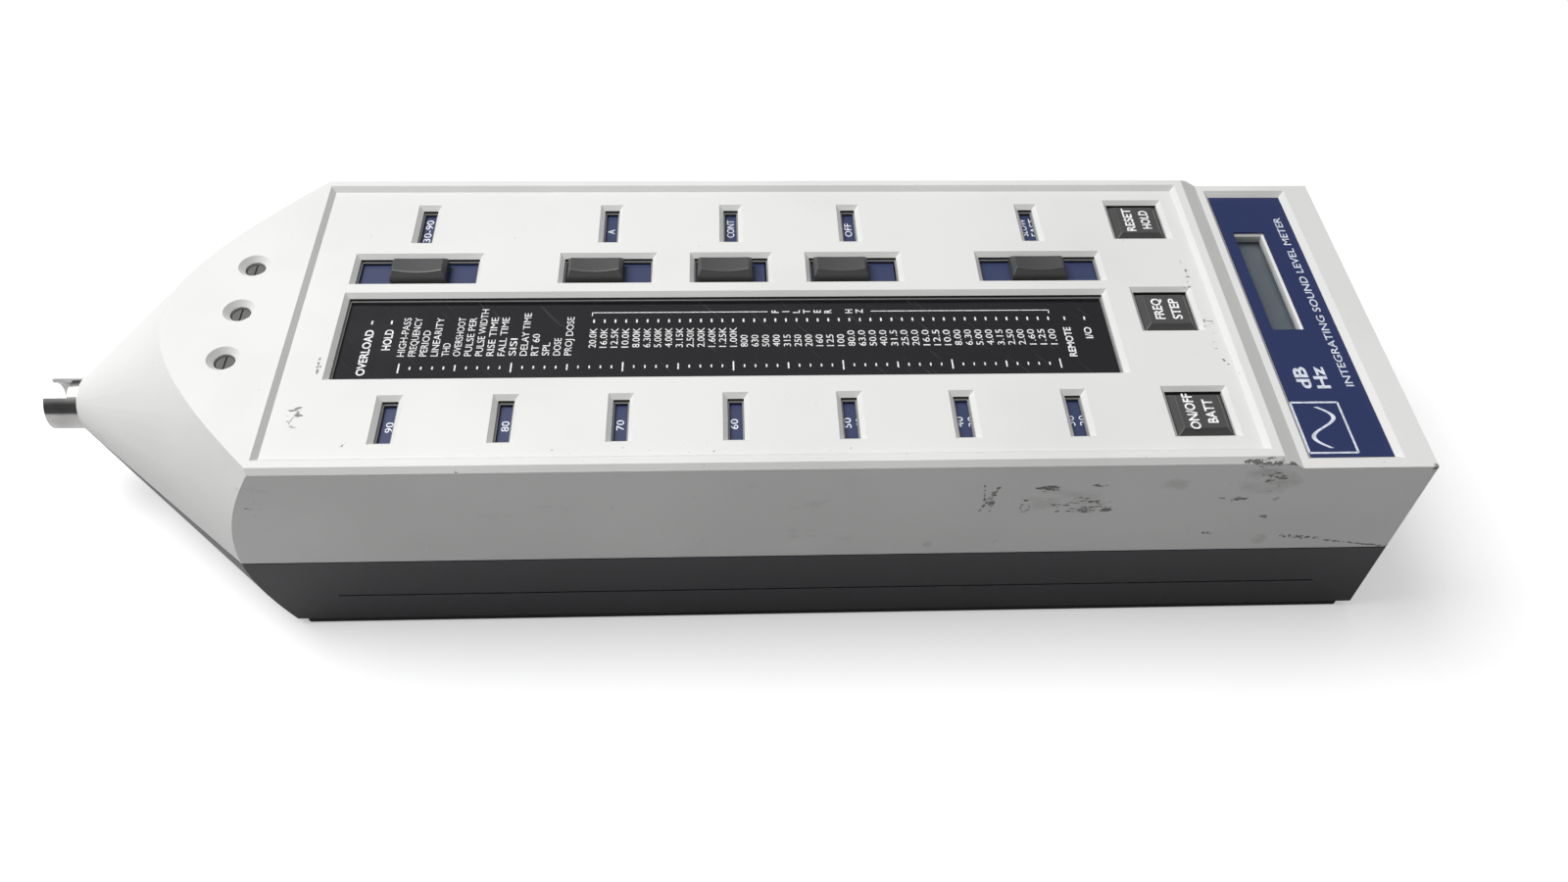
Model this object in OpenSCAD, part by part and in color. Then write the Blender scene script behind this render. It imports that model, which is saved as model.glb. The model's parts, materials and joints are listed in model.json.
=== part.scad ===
// Hand-held integrating sound level meter with a third-octave filter display.
// X runs along the case from the nose socket (-X) to the tail (+X), Z is up,
// and the origin is at the middle of the case on the surface it rests on.

/* [Case] */
// Distance from the middle of the meter to the tail face
tail_x = 163.2; // [160:0.1:170]
// Half of the case width, outside the side walls
half_w = 49.2; // [48.5:0.1:52]
// Height of the rim round the control panel
rim_z = 59; // [58:0.5:62]
// Height of the joint between the two shells
seam_z = 25.8; // [24:0.2:27]
// Thickness of the rubber rails under the case
rail_t = 2.2; // [1.5:0.1:3]
// Wall thickness of both shells
wall = 2.6; // [2.4:0.1:3]
// Width of the bevel along the long top edges
edge_c = 1.2; // [0.5:0.1:1.6]

/* [Nose] */
// Place of the cone's imaginary point
apex_x = -162.8; // [-164:0.1:-161]
// Growth of the cone's radius for each millimetre of length
cone_k = 0.871; // [0.8:0.001:0.9]
// Height of the nose axis
axis_z = 27; // [26:0.5:28]
// Where the cone is cut off for the socket ring
tip_x = -155; // [-156:0.5:-154]
// Front end of the socket ring
ring_x = -163.2; // [-166:0.1:-162]
// Outside diameter of the socket ring
ring_d = 12.7; // [12:0.1:13]
// Inside diameter of the socket ring
ring_bore_d = 10.6; // [10:0.1:11]
// Width of the keyway cut in the ring
notch_w = 6.4; // [4:0.2:7]

/* [Panel] */
// Depth of the control panel below the rim
panel_drop = 1.2; // [0.8:0.1:1.6]
// Depth of the tail deck below the rim
deck_drop = 2.9; // [2.4:0.1:3.2]
// Width of the bevel round every window
bevel = 1.1; // [0.8:0.1:1.3]
// Travel of a push button
press = 1.2; // [0.8:0.1:1.3]
// Length of a slider knob
knob_l = 13.6; // [12:0.1:14]
// Width of a slider knob
knob_w = 7; // [6:0.1:7.4]

/* [Hidden] */
$fn = 64;
fine = 160;
gap = 0.3;
snug = 0.05;
cut = 1;

// Heights
panel_z = rim_z - panel_drop;
deck_z = rim_z - deck_drop;
floor_z = rail_t + wall;
under_z = panel_z - 1.8;
label_z = deck_z - 1.8;
deck_under_z = label_z - 2.3;
board_z = 44;
board_t = 1.6;
board_top = board_z + board_t;

// Lengths along the top
recess_x = [-95.9, 125.5];
rim_w = 2;
step_x = 127.7;
deck_x = 132.6;
inner_w = half_w - wall;
collar_x = tip_x + 9;

// Windows: [x low, x high, y low, y high] at the panel face
main_window = [-85.7, 99.4, -21.5, 7.1];
slot_y = [10.1, 21.1];
slot_x = [[-85.4, -54.1], [-35.3, -11.4], [-3.2, 17.3], [25.5, 49.7], [68.4, 100.4]];
knob_x = [-69.4, -26.4, 5.5, 34.3, 83.9];
far_window_y = [25, 39.6];
far_window_x = [-72.7, -26.3, 4.2, 34.6, 81.4];
near_window_y = [-40.8, -26.4];
near_window_x0 = -72.6;
near_window_pitch = 25.73;
near_windows = 7;
small_window_w = 5.9;
button_x = 113;
button_y = [33.4, 0, -33.4];
well_w = 15.4;
label_recess = [134.5, 156.5, -46.5, 47.1];
label_bevel = 1.3;
lcd_opening = [138.9, 147, -4.6, 31.5];
lcd_bevel = 0.5;
hole_x = -108.7;
hole_pitch = 15.6;
holes = [-1, 0, 1];

// Trimmer openings and trimmers
hole_r = 2.4;
sink_r = 3.8;
sink_l = 1.3;
trimmer_r = 3.4;
trimmer_h = 10.4;
rotor_r = 2.1;
rotor_h = 2;
rotor_slot = [0.5, 0.4];
trimmer_seat = 55.1;

// Bezel, bar window, legend plates and knobs
ledge = bevel + 0.4;
bezel_outline = [-89, 102.5, -41.3, 41.3];
bezel_t = 0.5;
pane_t = 1.2;
bar_under = 50.6;
plate_t = 1;
plate_z = under_z - bezel_t - gap - plate_t;
plate_trim = 0.4;
arm_outline = [
    [-88, 15], [-88, 9.8], [-93.2, 9.8], [-93.2, -25.4], [95.5, -25.4],
    [95.5, -40.9], [-91, -40.9], [-97.4, -25], [-97.4, 15]
];
knob_top = rim_z + 0.4;
knob_y = (slot_y[0] + slot_y[1]) / 2;
stem = [4, 3];
stem_z = 48.2;
switch_h = 6;
switch_w = 8;

// Keys and their springs
cap_w = 13;
cap_top = panel_z - 0.2;
cap_slope = 1.6;
cap_under = 52.4;
flange_lip = 1.3;
flange_t = 1.1;
key_body = 10;
key_top = 48;
actuator_l = 0.8;
spring_r = 3.1;
spring_wire = 0.26;
spring_turns = 4;
spring_steps = 14;
spring_sides = 8;

// Digital readout
lcd_under = 48.4;
lens_lip = 1.5;
lens_t = 0.8;

// Boards
board_x = [-125, -92, 157];
board_y = [20, 45.6];
board_screw_x = [-80, 20, 120];
board_screw_y = 44;
spacer_x = [-70, 42];
spacer_y = 31;
filter_z = 30;
filter_lip = [6, 4];
can_x = [-112, -80];
can_y = 16;
can_h = 11;
can_sheet = 0.6;
post_r = 2.2;

// Rails, case screws, tripod bush and side groove
rail_x = [-97.5, 160];
rail_y = [half_w - 4.2, half_w - 0.2];
screw_x = [-72, 40, 148];
screw_y = 39.5;
screw_r = 1.25;
screw_l = 22;
screw_head = [2.8, 2];
screw_head_z = 8;
post_h = 14;
insert_x = 10;
insert_d = 9;
insert_l = 9.5;
tripod_d = 6.35;
groove_x = [-87.5, 150];
groove_z = 12;
groove = [0.5, 0.2];

// Battery bay, cells and cover
cover_x = 62;
cover_w = 27;
cover_lip = 1.5;
rib_x = 142;
rib_pitch = 2.4;
bay_end_x = [56.4, 58];
bay_side_y = [28.7, 30.5];
bay_end_top = 24;
bay_side_top = 20;
cell_d = 14.2;
cell_l = 49.5;
cell_button = [2.7, 1.2];
cell_pitch = cell_d + 0.6;
cell_x = [59.4, 110];
cell_rows = [-1, 0, 1];
cell_z = floor_z + 0.3 + cell_d / 2;
contact_x = [58, 159.9];

// Nose socket
socket_l = 6;
pocket_step = 0.3;
notch_l = 5.6;
pin_circle_r = 3;
pin_r = 0.5;
insulator_l = 15;
pin_l = 17;

// Tail sockets: output jack, round socket, power jack
jack_z = 35.6;
jack_y = [27, 0, -25];
jack_r = [3, 7.6, 4.2];
io_l = 11;
jack_l = [14, io_l + 1, 11];
jack_bore_r = [1.78, 6.6, 2.8];
jack_bore_l = [12.5, 5.6, 9.5];
io_pin_circle_r = 3.4;
power_pin_r = 1.05;

// Straight solids drawn as an outline seen along Y or along X
module along_y(y0, y1) {
    translate([0, y1, 0])
        rotate([90, 0, 0])
            linear_extrude(y1 - y0)
                children();
}

module along_x(x0, x1) {
    translate([x0, 0, 0])
        rotate([90, 0, 90])
            linear_extrude(x1 - x0)
                children();
}

module span(x, y, z) {
    translate([x[0], y[0], z[0]])
        cube([x[1] - x[0], y[1] - y[0], z[1] - z[0]]);
}

// A round bar along X from x0 to x1
module bar_x(x0, x1, y, z, r) {
    translate([x0, y, z])
        rotate([0, 90, 0])
            cylinder(h = x1 - x0, r = r);
}

// A rectangle whose four sides lean in by the same amount as it goes down
module taper_box(w, z_top, depth, lean) {
    intersection() {
        along_y(w[2], w[3])
            polygon([
                [w[0], z_top], [w[1], z_top], [w[1] - lean, z_top - depth], [w[0] + lean, z_top - depth]
            ]);
        along_x(w[0], w[1])
            polygon([
                [w[2], z_top], [w[3], z_top], [w[3] - lean, z_top - depth], [w[2] + lean, z_top - depth]
            ]);
    }
}

function grown(w, g) = [w[0] - g, w[1] + g, w[2] - g, w[3] + g];

// A window: a bevel at the face, then a straight opening down through the wall
module window_cut(w, face_z, b, below) {
    taper_box(grown(w, cut), face_z + cut, b + cut, b + cut);
    inner = grown(w, -b);
    span([inner[0], inner[1]], [inner[2], inner[3]], [face_z - below, face_z - b + 0.01]);
}

// The nose cone with everything behind it, drawn in by skin
module cone_zone(skin, start_x) {
    lean = skin * sqrt(1 + cone_k * cone_k);
    start_r = cone_k * (start_x - apex_x) - lean;
    end_x = apex_x + (80 + lean) / cone_k;
    translate([0, 0, axis_z])
        rotate([0, 90, 0])
            rotate_extrude($fn = fine)
                polygon([[0, start_x], [start_r, start_x], [80, end_x], [80, tail_x + 5], [0, tail_x + 5]]);
}

// The whole outer form of the case
module case_form() {
    intersection() {
        along_y(-half_w, half_w)
            polygon([
                [tip_x, rail_t], [tail_x, rail_t], [tail_x, deck_z],
                [deck_x, deck_z], [step_x, rim_z], [tip_x, rim_z]
            ]);
        along_x(tip_x, tail_x)
            polygon([
                [-half_w, rail_t], [half_w, rail_t], [half_w, rim_z - edge_c],
                [half_w - edge_c, rim_z], [-half_w + edge_c, rim_z], [-half_w, rim_z - edge_c]
            ]);
        cone_zone(0, tip_x);
    }
}

// The hollow inside both shells, drawn in by skin
module case_hollow(skin) {
    end_x = tail_x - wall - skin;
    side = inner_w - skin;
    intersection() {
        along_y(-side, side)
            polygon([
                [collar_x, floor_z], [end_x, floor_z], [end_x, deck_under_z], [step_x, deck_under_z],
                [step_x, under_z], [recess_x[0] - rim_w, under_z], [recess_x[0] - rim_w, rim_z - wall],
                [collar_x, rim_z - wall]
            ]);
        cone_zone(wall + skin, collar_x);
    }
}

// Every window and well cut through the panel
module panel_windows() {
    depth = panel_z - under_z + cut;
    window_cut(main_window, panel_z, bevel, depth);
    for (s = slot_x)
        window_cut([s[0], s[1], slot_y[0], slot_y[1]], panel_z, bevel, depth);
    for (x = far_window_x)
        window_cut([x, x + small_window_w, far_window_y[0], far_window_y[1]], panel_z, bevel, depth);
    for (i = [0 : near_windows - 1]) {
        x = near_window_x0 + i * near_window_pitch;
        window_cut([x, x + small_window_w, near_window_y[0], near_window_y[1]], panel_z, bevel, depth);
    }
    for (y = button_y)
        window_cut(grown([button_x, button_x, y, y], well_w / 2), panel_z, bevel - 0.1, depth);
}

// Countersunk openings over the three trimmers
module trimmer_holes() {
    for (i = holes)
        translate([hole_x, i * hole_pitch, 0]) {
            translate([0, 0, rim_z - sink_l])
                cylinder(h = sink_l + 0.1, r1 = hole_r, r2 = sink_r);
            translate([0, 0, rim_z - wall - cut])
                cylinder(h = wall + cut, r = hole_r);
        }
}

// Screw posts inside the upper shell, tied to the side walls
module top_posts() {
    for (x = screw_x, s = [-1, 1])
        difference() {
            union() {
                translate([x, s * screw_y, seam_z])
                    cylinder(h = post_h, r = 3.6);
                span([x - 1.5, x + 1.5], s > 0 ? [screw_y, inner_w + 0.5] : [-inner_w - 0.5, -screw_y],
                     [seam_z + 2.4, seam_z + post_h]);
            }
            translate([x, s * screw_y, seam_z - cut])
                cylinder(h = 10, r = screw_r);
        }
    for (x = board_screw_x, s = [-1, 1])
        difference() {
            translate([x, s * board_screw_y, board_top])
                cylinder(h = under_z - board_top + 0.5, r = post_r);
            translate([x, s * board_screw_y, board_top - cut])
                cylinder(h = 6, r = 1);
        }
}

module top_shell() {
    color("whitesmoke") {
        difference() {
            case_form();
            span([tip_x - 10, tail_x + 10], [-60, 60], [-1, seam_z]);
            case_hollow(0);
            taper_box([recess_x[0] - cut, recess_x[1] + cut,
                       -(half_w - edge_c - rim_w) - cut, half_w - edge_c - rim_w + cut],
                      rim_z + cut, panel_drop + cut, panel_drop + cut);
            panel_windows();
            taper_box(grown(label_recess, cut), deck_z + cut, label_bevel + cut, label_bevel + cut);
            label_floor = grown(label_recess, -label_bevel);
            span([label_floor[0], label_floor[1]], [label_floor[2], label_floor[3]],
                 [label_z, deck_z - label_bevel + 0.01]);
            window_cut(lcd_opening, label_z, lcd_bevel, 4);
            trimmer_holes();
            bar_x(tip_x - cut, collar_x + cut, 0, axis_z, ring_d / 2 + snug);
            for (j = [0 : 2])
                bar_x(tail_x - wall - cut, tail_x + cut, jack_y[j], jack_z, jack_r[j] + snug);
        }
        top_posts();
    }
}

// Rim of the lower shell that locates the upper one
module seam_lip() {
    intersection() {
        difference() {
            case_hollow(0.15);
            case_hollow(1.3);
        }
        span([collar_x, tail_x], [-60, 60], [seam_z - 1.4, seam_z + 2]);
    }
}

module bottom_shell() {
    color([0.18, 0.19, 0.2])
        difference() {
            union() {
                difference() {
                    case_form();
                    span([tip_x - 10, tail_x + 10], [-60, 60], [seam_z - gap, rim_z + 5]);
                    case_hollow(0);
                    for (s = [-1, 1])
                        span(groove_x, [s * half_w - groove[1], s * half_w + groove[1]],
                             [groove_z - groove[0] / 2, groove_z + groove[0] / 2]);
                }
                seam_lip();
                for (x = screw_x, s = [-1, 1])
                    translate([x, s * screw_y, rail_t])
                        cylinder(h = seam_z - rail_t - 0.1, r = 4.2);
                span(bay_end_x, [-30, 30], [floor_z - 0.5, bay_end_top]);
                for (s = [-1, 1])
                    span([bay_end_x[0], tail_x - 0.5],
                         s > 0 ? bay_side_y : [-bay_side_y[1], -bay_side_y[0]],
                         [floor_z - 0.5, bay_side_top]);
                translate([insert_x, 0, floor_z - 0.5])
                    cylinder(h = insert_l, r = 8);
            }
            for (x = screw_x, s = [-1, 1])
                translate([x, s * screw_y, 0]) {
                    cylinder(h = 2 * seam_z, r = 1.7);
                    translate([0, 0, -cut])
                        cylinder(h = 10 + cut, r = 3.1);
                }
            translate([insert_x, 0, 0])
                cylinder(h = rail_t + insert_l, r = insert_d / 2 + snug);
            bar_x(tip_x - cut, collar_x + cut, 0, axis_z, ring_d / 2 + snug);
            span([cover_x - gap, tail_x + cut], [-cover_w - gap, cover_w + gap],
                 [rail_t - cut, floor_z + 0.1]);
            span([cover_x - gap, tail_x + cut], [-cover_w - cover_lip - gap, cover_w + cover_lip + gap],
                 [rail_t + 0.7, rail_t + 2]);
        }
}

module foot_rails() {
    color("black")
        for (s = [-1, 1])
            span(rail_x, s > 0 ? rail_y : [-rail_y[1], -rail_y[0]], [0, rail_t]);
}

// Lid that slides off over the tail, with a ribbed thumb pad
module battery_cover() {
    color([0.2, 0.21, 0.22])
        difference() {
            union() {
                span([cover_x, tail_x], [-cover_w, cover_w], [rail_t, floor_z - 0.2]);
                span([cover_x, tail_x - 0.5], [-cover_w - cover_lip, cover_w + cover_lip],
                     [rail_t + 1, rail_t + 1.7]);
            }
            for (i = [0 : 5]) {
                x = rib_x + i * rib_pitch;
                span([x, x + rib_pitch / 2], [-10, 10], [rail_t - cut, rail_t + 0.6]);
            }
        }
}

module case_screws() {
    color("dimgray")
        for (x = screw_x, s = [-1, 1])
            translate([x, s * screw_y, 0])
                difference() {
                    union() {
                        translate([0, 0, screw_head_z])
                            cylinder(h = screw_head[1], r = screw_head[0]);
                        translate([0, 0, screw_head_z + screw_head[1] - 0.1])
                            cylinder(h = screw_l, r = screw_r);
                    }
                    translate([-0.4, -1.6, screw_head_z - cut])
                        cube([0.8, 3.2, 2]);
                    translate([-1.6, -0.4, screw_head_z - cut])
                        cube([3.2, 0.8, 2]);
                }
}

// Keyed ring: a plug bore at the mouth, then a slightly wider pocket for the insulator
module socket_ring() {
    color("silver")
        difference() {
            bar_x(ring_x, collar_x + 2.5, 0, axis_z, ring_d / 2);
            bar_x(ring_x - cut, ring_x + socket_l, 0, axis_z, ring_bore_d / 2);
            bar_x(ring_x + socket_l, collar_x + 3.5, 0, axis_z, ring_bore_d / 2 + pocket_step);
            span([ring_x - cut, ring_x + notch_l], [-notch_w / 2, notch_w / 2], [axis_z, axis_z + 10]);
        }
}

module socket_insulator() {
    color("black")
        difference() {
            bar_x(ring_x + socket_l + 0.1, ring_x + insulator_l,
                  0, axis_z, ring_bore_d / 2 + pocket_step - snug);
            for (a = [0 : 72 : 359])
                bar_x(ring_x + socket_l - cut, ring_x + insulator_l + cut,
                      pin_circle_r * cos(a), axis_z + pin_circle_r * sin(a), pin_r + snug);
        }
}

module socket_pins() {
    color("gold")
        for (a = [0 : 72 : 359])
            bar_x(ring_x + socket_l + 0.2, ring_x + pin_l,
                  pin_circle_r * cos(a), axis_z + pin_circle_r * sin(a), pin_r);
}

module socket_nut() {
    color("silver")
        translate([collar_x, 0, axis_z])
            rotate([0, 90, 0])
                difference() {
                    cylinder(h = 2.4, r = 9, $fn = 6);
                    translate([0, 0, -cut])
                        cylinder(h = 5, r = ring_d / 2 + 0.02);
                }
}

// Black frame under the panel; each opening shows as a thin ledge inside its window
module bezel_frame() {
    depth = [under_z - bezel_t - cut, under_z + cut];
    color([0.1, 0.1, 0.1])
        difference() {
            span([bezel_outline[0], bezel_outline[1]], [bezel_outline[2], bezel_outline[3]],
                 [under_z - bezel_t, under_z]);
            span([main_window[0] + ledge, main_window[1] - ledge],
                 [main_window[2] + ledge, main_window[3] - ledge], depth);
            for (s = slot_x)
                span([s[0] + ledge, s[1] - ledge], [slot_y[0] + ledge, slot_y[1] - ledge], depth);
            for (x = far_window_x)
                span([x + ledge, x + small_window_w - ledge],
                     [far_window_y[0] + ledge, far_window_y[1] - ledge], depth);
            for (i = [0 : near_windows - 1]) {
                x = near_window_x0 + i * near_window_pitch;
                span([x + ledge, x + small_window_w - ledge],
                     [near_window_y[0] + ledge, near_window_y[1] - ledge], depth);
            }
        }
}

module bar_window() {
    color([0.08, 0.07, 0.09])
        span([main_window[0] - 0.2, main_window[1] + 0.2], [main_window[2] - 0.5, main_window[3] + 0.5],
             [under_z - bezel_t - pane_t, under_z - bezel_t]);
}

module bar_display() {
    color([0.3, 0.34, 0.34])
        span([main_window[0] + 2, main_window[1] - 2], [main_window[2] + 1, main_window[3] - 1],
             [bar_under, under_z - bezel_t - pane_t - 0.2]);
}

module label_plate() {
    outline = grown(label_recess, -label_bevel - 0.1);
    color([0.15, 0.2, 0.42])
        difference() {
            span([outline[0], outline[1]], [outline[2], outline[3]], [label_z, label_z + 0.5]);
            span([lcd_opening[0], lcd_opening[1]], [lcd_opening[2], lcd_opening[3]],
                 [label_z - cut, label_z + cut]);
        }
}

module lcd_lens() {
    hole = grown(lcd_opening, -lcd_bevel - 0.1);
    color([0.6, 0.65, 0.65, 0.5])
        union() {
            span([hole[0], hole[1]], [hole[2], hole[3]], [deck_under_z - 0.1, label_z - 1.4]);
            span([hole[0] - lens_lip, hole[1] + lens_lip], [hole[2] - lens_lip, hole[3] + lens_lip],
                 [deck_under_z - 0.1 - lens_t, deck_under_z]);
        }
}

module lcd_module() {
    hole = grown(lcd_opening, 1);
    color([0.45, 0.5, 0.48])
        span([hole[0], hole[1]], [hole[2], hole[3]], [lcd_under, deck_under_z - 1]);
}

// Rubber contact strips between each display and the board
module display_connectors() {
    color("dimgray") {
        for (y = [main_window[2] + 2, main_window[3] - 4])
            span([main_window[0] + 4, main_window[1] - 4], [y, y + 2], [board_top, bar_under]);
        for (x = [lcd_opening[0] - 0.6, lcd_opening[1] - 1.4])
            span([x, x + 2], [lcd_opening[2], lcd_opening[3]], [board_top, lcd_under]);
    }
}

module main_board() {
    color("darkgreen")
        difference() {
            translate([0, 0, board_z])
                linear_extrude(board_t)
                    polygon([
                        [board_x[0], -board_y[0]], [board_x[1], -board_y[1]], [board_x[2], -board_y[1]],
                        [board_x[2], board_y[1]], [board_x[1], board_y[1]], [board_x[0], board_y[0]]
                    ]);
            for (x = board_screw_x, s = [-1, 1])
                translate([x, s * board_screw_y, board_z - cut])
                    cylinder(h = board_t + 2 * cut, r = 1.1);
        }
}

module filter_board() {
    color("darkgreen")
        span([spacer_x[0] - filter_lip[0], spacer_x[1] + filter_lip[0]],
             [-spacer_y - filter_lip[1], spacer_y + filter_lip[1]], [filter_z - board_t, filter_z]);
}

module board_spacers() {
    color("gold")
        for (x = spacer_x, s = [-1, 1])
            translate([x, s * spacer_y, filter_z])
                cylinder(h = board_z - filter_z, r = 2.5, $fn = 6);
}

module board_screws() {
    color("silver")
        for (x = board_screw_x, s = [-1, 1])
            translate([x, s * board_screw_y, 0]) {
                translate([0, 0, board_z - 1.2])
                    cylinder(h = 1.2, r = 1.9);
                translate([0, 0, board_z - 0.1])
                    cylinder(h = 6, r = 1);
            }
}

// Tin box over the input amplifier, open towards the board
module shield_can() {
    color("silver")
        difference() {
            span(can_x, [-can_y, can_y], [board_z - can_h, board_z]);
            span([can_x[0] + can_sheet, can_x[1] - can_sheet], [-can_y + can_sheet, can_y - can_sheet],
                 [board_z - can_h + can_sheet, board_z + cut]);
        }
}

// Flat cable from the filter board to the main board
module ribbon_cable() {
    x = spacer_x[1] + filter_lip[0];
    color("lightgray")
        along_y(-14, 14)
            polygon([
                [x - 4, filter_z], [x + 5, filter_z], [x + 5, board_z], [x + 4.2, board_z],
                [x + 4.2, filter_z + 0.8], [x - 4, filter_z + 0.8]
            ]);
}

// Knob with a finger dish, long sides bevelled, ends leaning, and a stem into the switch
module slider_knob(i) {
    x = knob_x[i];
    half_l = knob_l / 2;
    half_k = knob_w / 2;
    base_z = plate_z + plate_t;
    lean = 1.6;
    end_lean = 0.9;
    dish_r = 42;
    dish_depth = 0.55;
    color([0.17, 0.17, 0.17])
        union() {
            difference() {
                intersection() {
                    along_y(knob_y - half_k, knob_y + half_k)
                        polygon([
                            [x - half_l, base_z], [x + half_l, base_z], [x + half_l, knob_top - lean],
                            [x + half_l - end_lean, knob_top], [x - half_l + end_lean, knob_top],
                            [x - half_l, knob_top - lean]
                        ]);
                    along_x(x - half_l, x + half_l)
                        polygon([
                            [knob_y - half_k, base_z], [knob_y + half_k, base_z],
                            [knob_y + half_k, knob_top - lean], [knob_y + half_k - lean, knob_top],
                            [knob_y - half_k + lean, knob_top], [knob_y - half_k, knob_top - lean]
                        ]);
                }
                translate([x, knob_y + 10, knob_top + dish_r - dish_depth])
                    rotate([90, 0, 0])
                        cylinder(h = 20, r = dish_r, $fn = fine);
            }
            span([x - stem[0] / 2, x + stem[0] / 2], [knob_y - stem[1] / 2, knob_y + stem[1] / 2],
                 [stem_z, base_z + 0.5]);
        }
}

// How far a slider moves towards the nose and towards the tail, from rest
function travel_lo(i) = min(0, slot_x[i][0] + ledge + gap + knob_l / 2 - knob_x[i]);
function travel_hi(i) = slot_x[i][1] - ledge - gap - knob_l / 2 - knob_x[i];

// Legend plate under a slot and its window, wide enough to fill both over the slider's travel
module plate_blank(i) {
    z = [plate_z, plate_z + plate_t];
    x0 = slot_x[i][0] + ledge - travel_hi(i) + plate_trim;
    x1 = slot_x[i][1] - ledge - travel_lo(i) - plate_trim;
    wx0 = far_window_x[i] - travel_hi(i) - plate_trim;
    wx1 = far_window_x[i] + small_window_w - travel_lo(i) + plate_trim;
    span([x0, x1], [slot_y[0] - gap, slot_y[1] + 1.5], z);
    span([wx0, wx1], [slot_y[1] + 1, far_window_y[1] + 1.2], z);
    if (i == 0)
        translate([0, 0, plate_z])
            linear_extrude(plate_t)
                polygon(arm_outline);
}

module slider_plate(i) {
    x = knob_x[i];
    color([0.2, 0.25, 0.45])
        difference() {
            plate_blank(i);
            span([x - stem[0] / 2 - 0.02, x + stem[0] / 2 + 0.02],
                 [knob_y - stem[1] / 2 - 0.02, knob_y + stem[1] / 2 + 0.02],
                 [plate_z - cut, plate_z + plate_t + cut]);
        }
}

// Slide switches on the board, each with a trough for its knob's stem
module slide_switches() {
    color("gray")
        for (i = [0 : 4])
            difference() {
                span([slot_x[i][0], slot_x[i][1]], [knob_y - switch_w / 2, knob_y + switch_w / 2],
                     [board_top, board_top + switch_h]);
                span([slot_x[i][0] + 3, slot_x[i][1] - 3],
                     [knob_y - stem[1] / 2 - gap, knob_y + stem[1] / 2 + gap],
                     [stem_z - 0.6, board_top + switch_h + cut]);
            }
}

// Square cap: four sloping sides, a retaining flange and a short actuator
module button_cap(i) {
    y = button_y[i];
    flange = cap_w + 2 * flange_lip;
    color([0.17, 0.17, 0.17])
        union() {
            difference() {
                span([button_x - cap_w / 2, button_x + cap_w / 2], [y - cap_w / 2, y + cap_w / 2],
                     [cap_under, cap_top]);
                rim_cut = cap_w / 2 - cap_slope;
                for (s = [-1, 1]) {
                    along_y(y - cap_w, y + cap_w)
                        polygon([
                            [button_x + s * rim_cut, cap_top], [button_x + s * (rim_cut + 3), cap_top + 1],
                            [button_x + s * (rim_cut + 3), cap_top - 3]
                        ]);
                    along_x(button_x - cap_w, button_x + cap_w)
                        polygon([
                            [y + s * rim_cut, cap_top], [y + s * (rim_cut + 3), cap_top + 1],
                            [y + s * (rim_cut + 3), cap_top - 3]
                        ]);
                }
            }
            span([button_x - flange / 2, button_x + flange / 2], [y - flange / 2, y + flange / 2],
                 [under_z - gap - flange_t, under_z - gap]);
            translate([button_x, y, cap_under - actuator_l])
                cylinder(h = actuator_l + 0.2, r = 1.5);
        }
}

// Coil spring swept as one closed tube
function coil_point(t, a, lo, hi) =
    let (r = spring_r + spring_wire * cos(a))
    [r * cos(360 * t), r * sin(360 * t), lo + (hi - lo) * t / spring_turns + spring_wire * sin(a)];

module button_spring(i) {
    rings = spring_turns * spring_steps;
    lo = key_top + spring_wire + 0.02;
    hi = cap_under - spring_wire - 0.02;
    points = [for (k = [0 : rings], s = [0 : spring_sides - 1])
        coil_point(k / spring_steps, s * 360 / spring_sides, lo, hi)];
    sides = [for (k = [0 : rings - 1], s = [0 : spring_sides - 1])
        [k * spring_sides + s, k * spring_sides + (s + 1) % spring_sides,
         (k + 1) * spring_sides + (s + 1) % spring_sides, (k + 1) * spring_sides + s]];
    first = [[for (s = [0 : spring_sides - 1]) spring_sides - 1 - s]];
    last = [[for (s = [0 : spring_sides - 1]) rings * spring_sides + s]];
    color("silver")
        translate([button_x, button_y[i], 0])
            polyhedron(points = points, faces = concat(sides, first, last));
}

module key_switches() {
    color("black")
        for (y = button_y)
            translate([button_x, y, board_top]) {
                translate([-key_body / 2, -key_body / 2, 0])
                    cube([key_body, key_body, key_top - board_top]);
                cylinder(h = cap_under - actuator_l - press - 0.2 - board_top, r = 1.7);
            }
}

module trimmer_rotor(i) {
    color("gainsboro")
        translate([hole_x, holes[i] * hole_pitch, 0])
            difference() {
                translate([0, 0, trimmer_seat + 0.1])
                    cylinder(h = rotor_h, r = rotor_r);
                translate([-rotor_slot[0] / 2, -3, trimmer_seat + 0.1 + rotor_h - rotor_slot[1]])
                    cube([rotor_slot[0], 6, 2]);
            }
}

module trimmer_bodies() {
    color([0.25, 0.27, 0.3])
        for (i = holes)
            translate([hole_x, i * hole_pitch, 0])
                difference() {
                    translate([0, 0, board_top])
                        cylinder(h = trimmer_h, r = trimmer_r);
                    translate([0, 0, trimmer_seat])
                        cylinder(h = 4, r = rotor_r + snug);
                }
}

module tripod_insert() {
    color("goldenrod")
        translate([insert_x, 0, rail_t])
            difference() {
                cylinder(h = insert_l, r = insert_d / 2);
                translate([0, 0, -cut])
                    cylinder(h = insert_l - 1 + cut, r = tripod_d / 2);
            }
}

module batteries() {
    color("steelblue")
        for (x = cell_x, r = cell_rows) {
            bar_x(x, x + cell_l - cell_button[1], r * cell_pitch, cell_z, cell_d / 2);
            bar_x(x + cell_l - cell_button[1] - 0.1, x + cell_l, r * cell_pitch, cell_z, cell_button[0]);
        }
}

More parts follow.
